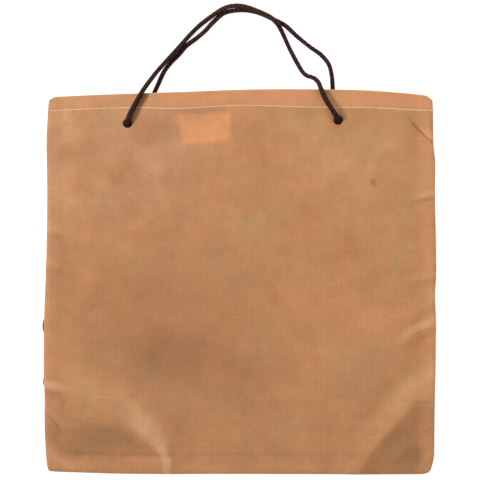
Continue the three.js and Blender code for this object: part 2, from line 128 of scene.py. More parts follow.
# x0, y0, x1, y1
CORD_TUNNEL = [(-85.5, 143.5, -76.4, 169.0), (77.5, 144.0, 82.8, 171.2)]
TUNNEL_HEIGHT, TUNNEL_HALF, TUNNEL_RAMP, TUNNEL_FOLLOW = 4.9, 11.5, 7, 0.1
PLAIN_HOLES = [(-100.25, 141.15), (87.3, 143.9)]
TAPESTRY_HOLES = [(-85.5, 143.5), (77.5, 144.0)]
# name, x, y, z
KNOTS = [
    ("front_knot_left", -100.9, 137.9, 4.9), ("front_knot_right", 88.5, 141.0, 4.9),
    ("back_knot_left", -88.2, 131.6, 4.9), ("back_knot_right", 75.0, 131.9, 4.9),
]
KNOT_SIZE = (10.4, 10.4, 6.2)
FRONT_ROUTE = [
    (-100.55, 139.25, 9.0), (-100.24, 140.98, 11.58), (-99.73, 143.31, 13.48), (-99.04, 146.03, 14.58),
    (-97.9, 149.4, 14.79), (-96.2, 152.6, 14.1), (-94.2, 156.7, 13.6), (-87.4, 168.9, 13.6),
    (-85.0, 172.7, 12.8), (-82.6, 176.2, 11.0), (-74.8, 187.0, 6.0), (-69.6, 193.0, 5.3),
    (-56.9, 206.6, 5.5), (-44.2, 221.2, 3.9), (-36.5, 228.8, 2.7), (-27.1, 236.0, 3.9),
    (-15.3, 243.7, 6.0), (-8.7, 245.8, 5.9), (-1.6, 246.3, 5.8), (5.1, 245.2, 6.5), (26.3, 236.3, 7.4),
    (32.5, 230.8, 7.1), (34.9, 227.5, 6.4), (36.7, 224.1, 4.8), (39.1, 219.2, 3.3), (44.9, 206.6, 2.4),
    (55.4, 187.7, 4.4), (57.7, 185.1, 5.7), (60.5, 183.3, 7.2), (63.8, 182.3, 9.0), (67.1, 180.3, 11.1),
    (69.7, 177.1, 12.6), (71.4, 173.0, 13.4), (76.0, 162.4, 14.1), (81.9, 153.1, 15.6),
    (83.88, 149.81, 15.71), (85.72, 146.73, 14.56), (87.12, 144.11, 12.27), (88.0, 142.2, 9.0),
]
BACK_ROUTE = [
    (-87.1, 138.2, 5.6), (-85.7, 143.5, 3.5), (-83.5, 150.0, 2.35), (-80.4, 159.5, 2.3),
    (-76.8, 168.9, 2.3), (-73.5, 176.1, 2.3), (-70.6, 182.6, 2.3), (-67.35, 188.95, 2.3),
    (-61.65, 196.15, 2.3), (-55.05, 202.9, 2.3), (-48.55, 210.45, 2.3), (-39.3, 217.4, 2.3),
    (-31.1, 224.4, 2.3), (-24.5, 231.6, 2.3), (-14.8, 239.9, 2.3), (-3.4, 242.5, 2.3),
    (7.4, 242.4, 2.3), (18.0, 239.8, 2.3), (28.8, 234.8, 2.3), (39.9, 229.1, 2.3), (51.0, 219.0, 2.3),
    (62.1, 210.0, 2.3), (72.4, 202.5, 2.3), (79.2, 194.0, 2.3), (81.6, 185.0, 2.3), (82.5, 176.0, 2.3),
    (82.6, 163.5, 2.3), (79.9, 151.5, 2.35), (77.7, 144.0, 3.5), (76.3, 138.5, 5.6),
]

# ------------------------------------------------------------------ looks' own tables
PLAIN_CLOTH = 0.6          # real thickness of the non-woven cloth, with its loft
TAPESTRY_CLOTH = 0.7
PLAIN_ROLL = 0.48          # radius at which the plain cloth turns at a seam, to its middle
TAPESTRY_ROLL = 0.42
HEM_ROLL = 0.36
SIDE_ALLOWANCE = 12.5      # cloth turned inside along the sides, and along the bottom
BOTTOM_ALLOWANCE = 15.5
TAPESTRY_HEM = 14.0
# Stitched line of the mouth's hem on the plain panel: x, y
HEM_LINE = [
    (-176, 152.4), (-170.8, 152.6), (-132.6, 154.2), (-97.0, 155.2), (-53.3, 154.5), (-0.2, 157.2),
    (54.3, 155.9), (87.3, 155.3), (113.2, 155.3), (143.3, 153.9), (171.1, 152.9), (176, 152.7),
]


# ------------------------------------------------------------------ helpers
def smooth(t):
    t = np.clip(t, 0, 1)
    return t * t * (3 - 2 * t)


def rise(t):
    return np.sin(np.clip(t, 0, 1) * np.pi / 2)


def along(table, at):
    """Smooth curve through a table of two columns, the CAD's own."""
    k, v = np.array(table, float).T
    n = len(k)
    at = np.clip(np.asarray(at, float), k[0], k[-1])
    lo, hi = np.maximum(np.arange(n) - 1, 0), np.minimum(np.arange(n) + 1, n - 1)
    slope = (v[hi] - v[lo]) / (k[hi] - k[lo])
    i = np.clip(np.searchsorted(k, at, side="right") - 1, 0, n - 2)
    w = k[i + 1] - k[i]
    t = (at - k[i]) / w
    t2, t3 = t * t, t * t * t
    return ((2 * t3 - 3 * t2 + 1) * v[i] + (t3 - 2 * t2 + t) * w * slope[i]
            + (3 * t2 - 2 * t3) * v[i + 1] + (t3 - t2) * w * slope[i + 1])


def left(y):
    return along(LEFT_EDGE, y)


def right(y):
    return along(RIGHT_EDGE, y)


def bottom(x):
    return along(BOTTOM_EDGE, x)


def mouth(x):
    return along(MOUTH_EDGE, x)


def hem_line(x):
    return along(HEM_LINE, x)


def near_line(line, x, y):
    """Distance to a line of points, its side (positive to the left), and the third column of the nearest place."""
    best, side, value = np.full(np.shape(x), 1e9), np.ones(np.shape(x)), np.zeros(np.shape(x))
    for (ax, ay, ah), (bx, by, bh) in zip(line, line[1:]):
        ux, uy = bx - ax, by - ay
        t = np.clip(((x - ax) * ux + (y - ay) * uy) / (ux * ux + uy * uy), 0, 1)
        dx, dy = x - ax - t * ux, y - ay - t * uy
        d = np.hypot(dx, dy)
        nearer = d < best
        best = np.where(nearer, d, best)
        side = np.where(nearer, ux * dy - uy * dx, side)
        value = np.where(nearer, ah + (bh - ah) * t, value)
    return best, side, value


def fold(line, crest, to_left, to_right, x, y):
    d, side, height = near_line(line, x, y)
    w = np.where(side > 0, to_left[0], to_right[0])
    p = np.where(side > 0, to_left[1], to_right[1])
    t = np.clip(1 - (np.hypot(d, crest) - crest) / (np.hypot(w, crest) - crest), 0, 1)
    foot = (np.sqrt(t * t + 0.01) - 0.1) / (math.sqrt(1.01) - 0.1)
    return height * foot ** p


def folds(x, y):
    return sum(fold(*f[1:], x, y) for f in LOOK_FOLDS)


def tunnel(x, y):
    most = np.zeros(np.shape(x))
    for x0, y0, x1, y1 in CORD_TUNNEL:
        ux, uy = x1 - x0, y1 - y0
        long = math.hypot(ux, uy)
        s = ((x - x0) * ux + (y - y0) * uy) / long
        d = np.abs((x - x0) * uy - (y - y0) * ux) / long
        h = TUNNEL_HEIGHT * np.cos(np.pi / 2 * np.clip(d / TUNNEL_HALF, 0, 1)) ** 2
        most = np.maximum(most, h * smooth((s + TUNNEL_RAMP) / (2 * TUNNEL_RAMP)))
    return most


def knot_room(x, y):
    z = np.zeros(np.shape(x))
    for kx, ky, height, radius in KNOT_ROOM:
        z += height * np.cos(np.pi / 2 * np.clip(np.hypot(x - kx, y - ky) / radius, 0, 1)) ** 2
    return z


def from_sides(x, y):
    return np.maximum(x - left(y), 0), np.maximum(right(y) - x, 0), np.maximum(y - bottom(x), 0)


def rest(x, y):
    """How far the bag's edges lie above the floor."""
    d = np.minimum.reduce(from_sides(x, y))
    return (EDGE_CURL * (1 - smooth(d / CURL_REACH))
            + np.maximum(folds(x, y), 0) * (1 - smooth(d / FOLD_CARRY)))


def tapestry_under(x, y):
    return np.maximum(rest(x, y), tunnel(x, y))


def plain_top(x, y):
    """Upper face of the plain panel: the CAD's, flatter beside the seams, with finer folds."""
    dl, dr, db = from_sides(x, y)
    part = [1 - np.exp(-d / SEAM_REACH) for d in (dl, dr, db)]
    room = SEAM_ROOM * part[0] * part[1] * part[2]
    puff = PUFF * rise(dl / PUFF_SIDE) * rise(dr / PUFF_SIDE) * rise(db / PUFF_BOTTOM)
    top = MOUTH_LIFT * smooth((y + 20) / 160) * smooth(dl / 40) * smooth(dr / 40)
    gape = MOUTH_GAPE * rise(dl / 90) * rise(dr / 90) * smooth(1 - (mouth(x) - y) / MOUTH_REACH)
    f, d = folds(x, y), np.minimum(np.minimum(dl, dr), db)
    own = np.where(f > 0, f * smooth(d / FOLD_CARRY), f * rise(d / FOLD_CARRY))
    z = (rest(x, y) + TAPESTRY_THICKNESS + GAP + room + puff + top + gape + own
         + knot_room(x, y) + TUNNEL_FOLLOW * tunnel(x, y))
    z = np.maximum(z, tapestry_under(x, y) + TAPESTRY_THICKNESS + GAP)
    return z + PLAIN_THICKNESS


def waves(x, y, seed, count, short, long):
    """Even, repeatable unevenness from -1 to 1: waves of many directions and lengths."""
    r = np.random.default_rng(seed)
    z = np.zeros(np.shape(x))
    for _ in range(count):
        size = math.exp(r.uniform(math.log(short), math.log(long)))
        a, phase = r.uniform(0, 2 * math.pi), r.uniform(0, 2 * math.pi)
        z += np.sin(2 * np.pi * (x * math.cos(a) + y * math.sin(a)) / size + phase)
    return z / math.sqrt(count / 2) / 1.8


# ------------------------------------------------------------------ meshes
def make_object(name, points, faces, material, attributes=None, smooth_shading=True):
    mesh = bpy.data.meshes.new(name)
    mesh.from_pydata([tuple(p) for p in np.asarray(points, float) * MM], [], faces)
    mesh.validate()
    for a, values in (attributes or {}).items():
        layer = mesh.attributes.new(a, "FLOAT", "POINT")
        layer.data.foreach_set("value", np.asarray(values, np.float32))
    if smooth_shading:
        mesh.polygons.foreach_set("use_smooth", np.ones(len(mesh.polygons), bool))
    mesh.update()
    o = bpy.data.objects.new(name, mesh)
    bpy.context.scene.collection.objects.link(o)
    mesh.materials.append(material)
    return o


def cloth(name, grid, keep, thick, material, attributes=None):
    """A closed sheet: two faces half the thickness to each side of a grid of points, joined round every open edge.
    keep says which cells of the grid are cloth."""
    rows, cols = grid.shape[:2]
    a, b, c, d = grid[:-1, :-1], grid[:-1, 1:], grid[1:, 1:], grid[1:, :-1]
    n = np.cross(c - a, d - b) * keep[..., None]
    normal = np.zeros_like(grid)
    normal[:-1, :-1] += n
    normal[:-1, 1:] += n
    normal[1:, 1:] += n
    normal[1:, :-1] += n
    size = np.linalg.norm(normal, axis=2, keepdims=True)
    normal = normal / np.maximum(size, 1e-12)
    used = np.zeros((rows, cols), bool)
    for sj, si in ((slice(0, -1), slice(0, -1)), (slice(0, -1), slice(1, None)),
                   (slice(1, None), slice(1, None)), (slice(1, None), slice(0, -1))):
        used[sj, si] |= keep
    number = np.full((rows, cols), -1)
    number[used] = np.arange(used.sum())
    total = int(used.sum())
    half = thick / 2
    points = np.concatenate([(grid + normal * half)[used], (grid - normal * half)[used]])
    A, B, C, D = number[:-1, :-1], number[:-1, 1:], number[1:, 1:], number[1:, :-1]
    j, i = np.nonzero(keep)
    faces = [*zip(A[j, i], B[j, i], C[j, i], D[j, i])]
    faces += [*zip(D[j, i] + total, C[j, i] + total, B[j, i] + total, A[j, i] + total)]
    # Rims: an edge with cloth on one side only.
    pad = np.zeros((rows + 1, cols + 1), bool)
    pad[1:-1, 1:-1] = keep
    for j in range(rows):
        below, above = pad[j, 1:-1], pad[j + 1, 1:-1]
        for i in np.nonzero(below != above)[0]:
            p, q = number[j, i], number[j, i + 1]
            if above[i]:
                faces.append((q, p, p + total, q + total))
            else:
                faces.append((p, q, q + total, p + total))
    for i in range(cols):
        before, after = pad[1:-1, i], pad[1:-1, i + 1]
        for j in np.nonzero(before != after)[0]:
            p, q = number[j, i], number[j + 1, i]
            if after[j]:
                faces.append((p, q, q + total, p + total))
            else:
                faces.append((q, p, p + total, q + total))
    faces = [tuple(int(v) for v in f) for f in faces]
    both = {k: np.concatenate([v[used], v[used]]) for k, v in (attributes or {}).items()}
    return make_object(name, points, faces, material, both)


def frames_along(line, closed=False):
    """Tangent and two side vectors at each point, turning as little as they can."""
    if closed:
        tangent = np.roll(line, -1, 0) - np.roll(line, 1, 0)
    else:
        tangent = np.gradient(line, axis=0)
    tangent = tangent / np.linalg.norm(tangent, axis=1, keepdims=True)
    u = np.zeros_like(line)
    start = np.array([0.0, 0.0, 1.0]) if abs(tangent[0][2]) < 0.9 else np.array([1.0, 0.0, 0.0])
    u[0] = start - tangent[0] * (start @ tangent[0])
    u[0] /= np.linalg.norm(u[0])
    for k in range(1, len(line)):
        v = u[k - 1] - tangent[k] * (u[k - 1] @ tangent[k])
        u[k] = v / np.linalg.norm(v)
    if closed:  # spread the twist that is left over the whole round
        v = u[-1] - tangent[0] * (u[-1] @ tangent[0])
        v /= np.linalg.norm(v)
        w0 = np.cross(tangent[0], u[0])
        twist = math.atan2(v @ w0, v @ u[0])
        a = -twist * np.arange(len(line)) / len(line)
        w = np.cross(tangent, u)
        u = u * np.cos(a)[:, None] + w * np.sin(a)[:, None]
    return tangent, u, np.cross(tangent, u)


def centripetal(route, per_span=60):
    """The CAD's curve through a route: three.js's centripetal Catmull-Rom."""
    p = np.array(route, float)
    p = np.concatenate([[2 * p[0] - p[1]], p, [2 * p[-1] - p[-2]]])
    out = []
    t = np.arange(per_span) / per_span
    for a, b, c, d in zip(p, p[1:], p[2:], p[3:]):
        d0, d1, d2 = (np.linalg.norm(v) ** 0.5 for v in (b - a, c - b, d - c))
        d1 = max(d1, 1e-4)
        m1 = ((b - a) / d0 - (c - a) / (d0 + d1) + (c - b) / d1) * d1
        m2 = ((c - b) / d1 - (d - b) / (d1 + d2) + (d - c) / d2) * d1
        c2, c3 = -3 * b + 3 * c - 2 * m1 - m2, 2 * b - 2 * c + m1 + m2
        out.append(b + t[:, None] * m1 + (t ** 2)[:, None] * c2 + (t ** 3)[:, None] * c3)
    out.append(p[-2][None])
    return np.concatenate(out)


def spaced(line, count, closed=False):
    if closed:
        line = np.concatenate([line, line[:1]])
    s = np.concatenate([[0], np.cumsum(np.linalg.norm(np.diff(line, axis=0), axis=1))])
    at = np.linspace(0, s[-1], count + 1 if closed else count)
    out = np.stack([np.interp(at, s, line[:, k]) for k in range(3)], 1)
    return (out[:-1] if closed else out), s[-1]


# ------------------------------------------------------------------ braided cord
CORD_CROWN = 2.2        # radius over the strands' crowns
BRAID_PITCH = 13.0     # length in which a strand goes once round
BRAID_PAIRS = 3        # strands each way
STRAND_HALF = 1.32     # half the width of a strand, and half its thickness
STRAND_RISE = 0.74
STRAND_SWING = 0.26     # how far a strand goes in and out as it crosses the others


def braid(angle, s, radius, pitch=BRAID_PITCH):
    """Distance of the braid's surface from its middle, and how deep in a groove it is, from 0 to 1."""
    scale = radius / (CORD_DIAMETER / 2)
    half, high, swing = STRAND_HALF * scale, STRAND_RISE * scale, STRAND_SWING * scale
    core = radius - high - swing + 0.05 * scale
    turn = 2 * np.pi * s / pitch
    cos_lay = 1 / math.hypot(1, 2 * math.pi * radius * 0.85 / pitch)
    best = np.full(np.broadcast(angle, s).shape, core - 0.15 * scale)
    which = np.zeros(best.shape)
    for k in range(BRAID_PAIRS):
        start = 2 * np.pi * k / BRAID_PAIRS
        for way in (1, -1):
            off = (angle - start - way * turn + np.pi) % (2 * np.pi) - np.pi
            across = np.abs(off) * radius * 0.9 * cos_lay / half
            count = (2 * turn + way * start) / (2 * np.pi / BRAID_PAIRS)
            over = way * np.cos(np.pi * count + np.pi * k)
            body = np.sqrt(np.clip(1 - across ** 2, 0, 1))
            r = np.where(across < 1, core + swing * over + high * body ** 0.8 - 0.05 * scale, 0)
            which = np.where(r > best, 0.5 + 0.5 * way * (0.5 + 0.5 * k / BRAID_PAIRS), which)
            best = np.maximum(best, r)
    groove = np.clip((radius - best) / (high + swing), 0, 1)
    return best, groove, which


def cord_swell(line, over_cloth):
    """The soft cord is fuller where it is pulled down to the holes and where the two lie together."""
    x, y = line[:, 0], line[:, 1]
    swell = 1.0 + over_cloth * 0.17 * smooth((178 - y) / 18) + 0.06 * np.exp(-((y - 208) / 14) ** 2) * smooth((-30 - x) / 12)
    swell += 0.05 * np.exp(-((y - 238) / 10) ** 2) - 0.05 * smooth((x - 30) / 14) * smooth((y - 178) / 14) * smooth((232 - y) / 12)
    return swell + 0.03 * np.sin(np.arange(len(line)) * RING_STEP * 2 * np.pi / 37.0)


def braided_tube(line, radius, around, closed=False, pitch=BRAID_PITCH, start_cap=0.0, end_cap=0.0, phase=0.0, swell=None):
    """Points, faces and attributes of a braided tube along evenly spaced points."""
    n = len(line)
    _, u, w = frames_along(line, closed)
    step = np.linalg.norm(line[1] - line[0])
    s = (np.arange(n) * step + phase)[:, None]
    a = (2 * np.pi * np.arange(around) / around)[None, :]
    r, groove, which = braid(a, s, radius, pitch)
    shrink = np.ones(n)
    if not closed:
        for cap, at in ((start_cap, np.arange(n) * step), (end_cap, (n - 1 - np.arange(n)) * step)):
            if cap:
                shrink *= np.sqrt(np.clip(1 - np.clip(1 - at / cap, 0, 1) ** 2, 0.02, 1))
    if swell is not None:
        shrink = shrink * swell
    r = r * shrink[:, None]
    points = line[:, None] + u[:, None] * (r * np.cos(a))[..., None] + w[:, None] * (r * np.sin(a))[..., None]
    i = np.arange(around)
    faces = []
    for k in range(n if closed else n - 1):
        p, q = k * around, ((k + 1) % n) * around
        for m in i:
            m2 = (m + 1) % around
            faces.append((p + m, p + m2, q + m2, q + m))
    points = points.reshape(-1, 3)
    strand_along = np.broadcast_to(s, r.shape).reshape(-1)
    groove, which = groove.reshape(-1), which.reshape(-1)
    if not closed:
        points = np.concatenate([points, line[:1], line[-1:]])
        first, last = n * around, n * around + 1
        faces += [(int((m + 1) % around), int(m), first) for m in i]
        faces += [(int((n - 1) * around + m), int((n - 1) * around + (m + 1) % around), last) for m in i]
        groove, which = np.append(groove, [0.5, 0.5]), np.append(which, [0.5, 0.5])
        strand_along = np.append(strand_along, [0, 0])
    faces = [tuple(int(v) for v in f) for f in faces]
    return points, faces, {"groove": groove, "strand": which, "along": strand_along}


def joined(parts):
    points, faces, attributes, base = [], [], {}, 0
    for p, f, a in parts:
        points.append(p)
        faces += [tuple(v + base for v in one) for one in f]
        for k, v in a.items():
            attributes.setdefault(k, []).append(v)
        base += len(p)
    return np.concatenate(points), faces, {k: np.concatenate(v) for k, v in attributes.items()}


# ------------------------------------------------------------------ materials
class Nodes:
    """Short words for building a material's nodes."""

    def __init__(self, name):
        self.material = bpy.data.materials.new(name)
        self.material.use_nodes = True
        self.tree = self.material.node_tree
        self.tree.nodes.clear()
        self.out = self.tree.nodes.new("ShaderNodeOutputMaterial")
        self.shader = self.tree.nodes.new("ShaderNodeBsdfPrincipled")
        self.tree.links.new(self.shader.outputs["BSDF"], self.out.inputs["Surface"])

    def put(self, socket, value):
        if isinstance(value, bpy.types.NodeSocket):
            self.tree.links.new(value, socket)
        elif isinstance(value, (tuple, list)) and socket.type == "RGBA":
            socket.default_value = (*value, 1) if len(value) == 3 else value
        else:
            socket.default_value = value

    def math(self, op, a, b=0.0, c=0.0, clamp=False):
        n = self.tree.nodes.new("ShaderNodeMath")
        n.operation, n.use_clamp = op, clamp
        for k, v in enumerate((a, b, c)):
            self.put(n.inputs[k], v)
        return n.outputs[0]

    def coords(self):
        n = self.tree.nodes.new("ShaderNodeTexCoord")
        return n.outputs["Object"]

    def split(self, vector):
        n = self.tree.nodes.new("ShaderNodeSeparateXYZ")
        self.put(n.inputs[0], vector)
        return n.outputs

    def combine(self, x, y, z=0.0):
        n = self.tree.nodes.new("ShaderNodeCombineXYZ")
        for k, v in enumerate((x, y, z)):
            self.put(n.inputs[k], v)
        return n.outputs[0]

    def attribute(self, name):
        n = self.tree.nodes.new("ShaderNodeAttribute")
        n.attribute_name = name
        return n.outputs["Fac"]

    def noise(self, vector, scale, detail=2.0, rough=0.5, distortion=0.0):
        n = self.tree.nodes.new("ShaderNodeTexNoise")
        self.put(n.inputs["Vector"], vector)
        n.inputs["Scale"].default_value = scale
        n.inputs["Detail"].default_value = detail
        n.inputs["Roughness"].default_value = rough
        n.inputs["Distortion"].default_value = distortion
        return n.outputs["Fac"]

    def remap(self, value, a, b, c=0.0, d=1.0, kind="SMOOTHSTEP"):
        n = self.tree.nodes.new("ShaderNodeMapRange")
        n.interpolation_type, n.clamp = kind, True
        for k, v in zip(("Value", "From Min", "From Max", "To Min", "To Max"), (value, a, b, c, d)):
            self.put(n.inputs[k], v)
        return n.outputs[0]

    def mix(self, factor, a, b, kind="MIX"):
        n = self.tree.nodes.new("ShaderNodeMix")
        n.data_type, n.blend_type = "RGBA", kind
        self.put(n.inputs[0], factor)
        self.put(n.inputs[6], a)
        self.put(n.inputs[7], b)
        return n.outputs[2]

    def distance(self, vector, point):
        n = self.tree.nodes.new("ShaderNodeVectorMath")
        n.operation = "DISTANCE"
        self.put(n.inputs[0], vector)
        n.inputs[1].default_value = point
        return n.outputs["Value"]

    def crease(self, x, y, points, wide, much):
        """A soft line of painted shade through points, fading out at its ends."""
        total = None
        spans = len(points) - 1
        for k, ((ax, ay), (bx, by)) in enumerate(zip(points, points[1:])):
            ux, uy = bx - ax, by - ay
            long = ux * ux + uy * uy
            dx, dy = self.math("SUBTRACT", x, ax), self.math("SUBTRACT", y, ay)
            dot = self.math("ADD", self.math("MULTIPLY", dx, ux / long), self.math("MULTIPLY", dy, uy / long))
            t = self.math("MINIMUM", self.math("MAXIMUM", dot, 0.0), 1.0)
            ex = self.math("SUBTRACT", dx, self.math("MULTIPLY", t, ux))
            ey = self.math("SUBTRACT", dy, self.math("MULTIPLY", t, uy))
            d = self.math("SQRT", self.math("ADD", self.math("MULTIPLY", ex, ex), self.math("MULTIPLY", ey, ey)))
            line = self.remap(d, wide * 0.15, wide, much, 0.0)
            if k == 0:
                line = self.math("MULTIPLY", line, self.remap(dot, 0.0, 0.7))
            if k == spans - 1:
                line = self.math("MULTIPLY", line, self.remap(dot, 0.6, 1.0, 1.0, 0.25))
            total = line if total is None else self.math("MAXIMUM", total, line)
        return total

    def scaled(self, vector, scale, shift=(0, 0, 0), turn=0.0):
        n = self.tree.nodes.new("ShaderNodeMapping")
        self.put(n.inputs["Vector"], vector)
        n.inputs["Scale"].default_value = scale
        n.inputs["Location"].default_value = shift
        n.inputs["Rotation"].default_value = (0, 0, turn)
        return n.outputs[0]

    def bump(self, height, strength, distance, normal=None):
        n = self.tree.nodes.new("ShaderNodeBump")
        n.inputs["Strength"].default_value = strength
        n.inputs["Distance"].default_value = distance
        self.put(n.inputs["Height"], height)
        if normal is not None:
            self.put(n.inputs["Normal"], normal)
        return n.outputs[0]


def linear(r, g, b):
    """sRGB levels, 0 to 255, as linear colour."""
    return tuple((c / 255 / 12.92) if c <= 10.31 else ((c / 255 + 0.055) / 1.055) ** 2.4 for c in (r, g, b))


# Bonding points of the non-woven cloth: staggered dots, cycles per metre across and along.
DOTS_ACROSS, DOTS_ALONG = 448.0, 459.0


# Painted shade along sharp creases in the plain cloth: [(x, y)] in metres, half width, how dark
CREASE_SHADE_LINES = [
    ([(0.1500, 0.1472), (0.1530, 0.1425)], 0.00170, 0.17),
    ([(0.1522, 0.1436), (0.1566, 0.1384), (0.1626, 0.1322), (0.1661, 0.1289), (0.1722, 0.1232)], 0.00195, 0.38),
    ([(0.1730, 0.0729), (0.1605, 0.0725), (0.1516, 0.0702)], 0.00110, 0.14),
    ([(0.1743, -0.0411), (0.1705, -0.0414), (0.1637, -0.0434), (0.1568, -0.0475)], 0.00130, 0.17),
    ([(0.1726, -0.1085), (0.1640, -0.1072), (0.1572, -0.1076), (0.1530, -0.1100)], 0.00190, 0.15),
    ([(0.1722, -0.1299), (0.1680, -0.1322), (0.1640, -0.1352)], 0.00170, 0.16),
    ([(-0.1735, -0.1164), (-0.1654, -0.1262), (-0.1574, -0.1387)], 0.00150, 0.17),
    ([(-0.1583, -0.0994), (-0.1579, -0.1218)], 0.00130, 0.1),
    ([(-0.1740, -0.1020), (-0.1673, -0.1040), (-0.1602, -0.1060), (-0.1550, -0.1075)], 0.00260, 0.11),
    ([(-0.1735, -0.0620), (-0.1690, -0.0628), (-0.1640, -0.0650)], 0.00130, 0.08),
]


def plain_cloth_material():
    m = Nodes("plain_cloth")
    at = m.coords()
    x, y, _ = m.split(at)
    flat = m.combine(x, y, 0.0)
    double, patch = m.attribute("double"), m.attribute("patch")
    single = m.math("SUBTRACT", 1.0, double, clamp=True)

    # the dots
    wx = m.math("COSINE", m.math("MULTIPLY", x, 2 * math.pi * DOTS_ACROSS))
    wy = m.math("COSINE", m.math("MULTIPLY", y, 2 * math.pi * DOTS_ALONG))
    lattice = m.math("MULTIPLY", wx, wy)
    dots = m.remap(lattice, -0.1, 0.85)

    # colours, what lies behind the cloth showing faintly through it, and the painted light and shade of folds and
    # hollows that the tone attribute carries
    tone, olive = m.attribute("tone"), m.attribute("olive")
    broad = m.noise(m.scaled(flat, (1, 1, 1), (0.31, 0.12, 0.4)), 15.0, 3.5, 0.6, 0.5)
    middle = m.noise(m.scaled(flat, (1, 1, 1), (1.7, 0.6, 1.1)), 34.0, 4.0, 0.6, 0.3)
    small = m.noise(m.scaled(flat, (1, 1, 1), (0.4, 2.6, 0.2)), 85.0, 3.0, 0.6)
    hue = m.noise(m.scaled(flat, (1, 1, 1), (5.4, 1.6, 0.9)), 27.0, 4.0, 0.65, 0.4)
    to_red = m.math("MULTIPLY", m.remap(hue, 0.50, 0.70), single)
    to_olive = m.math("MULTIPLY", m.remap(hue, 0.50, 0.32), single)
    to_olive = m.math("MAXIMUM", to_olive, olive)
    high = m.math("MULTIPLY", m.remap(y, -0.01, 0.12), m.remap(x, -0.10, 0.0, 1.0, 0.24))
    dusty = m.math("MULTIPLY", m.math("MULTIPLY", m.remap(middle, 0.18, 0.80), high), single)
    colour = m.mix(to_red, linear(184, 128, 84), linear(188, 126, 82))
    colour = m.mix(to_olive, colour, linear(178, 131, 86))
    colour = m.mix(m.math("MULTIPLY", dusty, 0.72), colour, linear(192, 144, 107))
    # painted light: where the tone rises above 0.03 the cloth moves to a paler colour
    colour = m.mix(m.remap(tone, 0.03, 0.14), colour, linear(188, 141, 99))
    colour = m.mix(double, colour, m.mix(m.remap(x, -0.165, -0.05), linear(202, 145, 104), linear(202, 141, 96)))
    colour = m.mix(patch, colour, linear(213, 146, 97))

    # cloudy fibre web
    web = m.noise(flat, 260.0, 4.0, 0.62)
    fibres = m.noise(m.scaled(flat, (1, 0.45, 1), (0, 0, 0), 0.5), 1500.0, 3.0, 0.6)
    # lights and darks of the cloth and of what lies behind it
    shade = m.math("ADD", 1.0, m.remap(small, 0.28, 0.72, -0.055, 0.055, "LINEAR"))
    shade = m.math("ADD", shade, m.math("MULTIPLY", m.remap(middle, 0.28, 0.72, -0.085, 0.085, "LINEAR"), single))
    shade = m.math("ADD", shade, m.math("MULTIPLY", m.remap(broad, 0.3, 0.7, -0.07, 0.07, "LINEAR"), single))
    # hair-fine rubs, in patches
    rubs = None
    for turn, shift in ((0.7, 0.0), (-0.45, 3.1), (1.9, 7.7)):
        hair = m.noise(m.scaled(flat, (1, 0.06, 1), (shift, 0, 0), turn), 620.0, 1.0, 0.5)
        where = m.noise(m.scaled(flat, (1, 1, 1), (shift, 2.0, 0)), 26.0, 2.0, 0.5)
        one = m.math("MULTIPLY", m.remap(hair, 0.66, 0.78), m.remap(where, 0.46, 0.62))
        rubs = one if rubs is None else m.math("MAXIMUM", rubs, one)
    shade = m.math("ADD", shade, m.math("MULTIPLY", rubs, m.remap(y, -0.1, 0.12, 0.06, 0.13)))
    # painted light and shade: the tone lightens or darkens the cloth
    shade = m.math("MULTIPLY", shade, m.math("ADD", 1.0, tone))
    # fine grain: the web of fibres and the dark dots, which take more of the blue than of the red
    strength = m.math("MULTIPLY", m.math("MULTIPLY", m.remap(y, -0.08, 0.12, 0.78, 0.55), m.remap(double, 0.0, 1.0, 1.0, 0.45, "LINEAR")), m.math("MULTIPLY_ADD", patch, -0.45, 1.0))
    grain = m.math("MULTIPLY", m.math("SUBTRACT", 0.38, dots), strength)
    grain = m.math("ADD", grain, m.remap(web, 0.25, 0.75, -0.045, 0.045, "LINEAR"))
    grain = m.math("ADD", grain, m.remap(fibres, 0.2, 0.8, -0.045, 0.045, "LINEAR"))
    # painted shade in sharp creases, browner as well as darker
    for points, wide, much in CREASE_SHADE_LINES:
        grain = m.math("SUBTRACT", grain, m.crease(x, y, points, wide, much))
    # a smudge, pale specks and rubbed lines
    smudge = m.remap(m.distance(flat, (0.1180, 0.0890, 0)), 0.0008, 0.0046, 0.26, 0.0)
    smudge = m.math("ADD", smudge, m.remap(m.distance(flat, (0.1210, 0.0855, 0)), 0.0, 0.006, 0.10, 0.0))
    shade = m.math("MULTIPLY", shade, m.math("SUBTRACT", 1.0, smudge))
    rubbed = None
    for sx, sy, size in ((-0.0809, -0.1207, 0.0011), (0.0873, 0.0015, 0.0010)):
        one = m.remap(m.distance(flat, (sx, sy, 0)), 0.0003, size, 0.30, 0.0)
        rubbed = one if rubbed is None else m.math("ADD", rubbed, one)
    for x0, x1, ly, tilt in ((-0.1325, -0.1105, -0.1028, -0.03), (0.1145, 0.1260, -0.1378, 0.08)):
        mid = (x0 + x1) / 2
        line_y = m.math("SUBTRACT", y, m.math("MULTIPLY_ADD", m.math("SUBTRACT", x, mid), tilt, ly))
        wander = m.math("MULTIPLY", m.math("SUBTRACT", m.noise(flat, 240.0, 1.0), 0.5), 0.0022)
        gap = m.math("ABSOLUTE", m.math("SUBTRACT", line_y, wander))
        thin = m.remap(gap, 0.0001, 0.00085, 0.2, 0.0)
        span = m.remap(m.math("ABSOLUTE", m.math("SUBTRACT", x, mid)), (x1 - x0) / 2 * 0.6, (x1 - x0) / 2, 1.0, 0.0)
        rubbed = m.math("ADD", rubbed, m.math("MULTIPLY", thin, span))
    shade = m.math("MULTIPLY", shade, m.math("ADD", 1.0, rubbed))
    grains = [m.math("MULTIPLY", shade, m.math("MULTIPLY_ADD", grain, k, 1.0)) for k in (0.68, 1.06, 1.74)]
    colour = m.mix(1.0, colour, m.combine(*grains), "MULTIPLY")
    m.put(m.shader.inputs["Base Color"], colour)

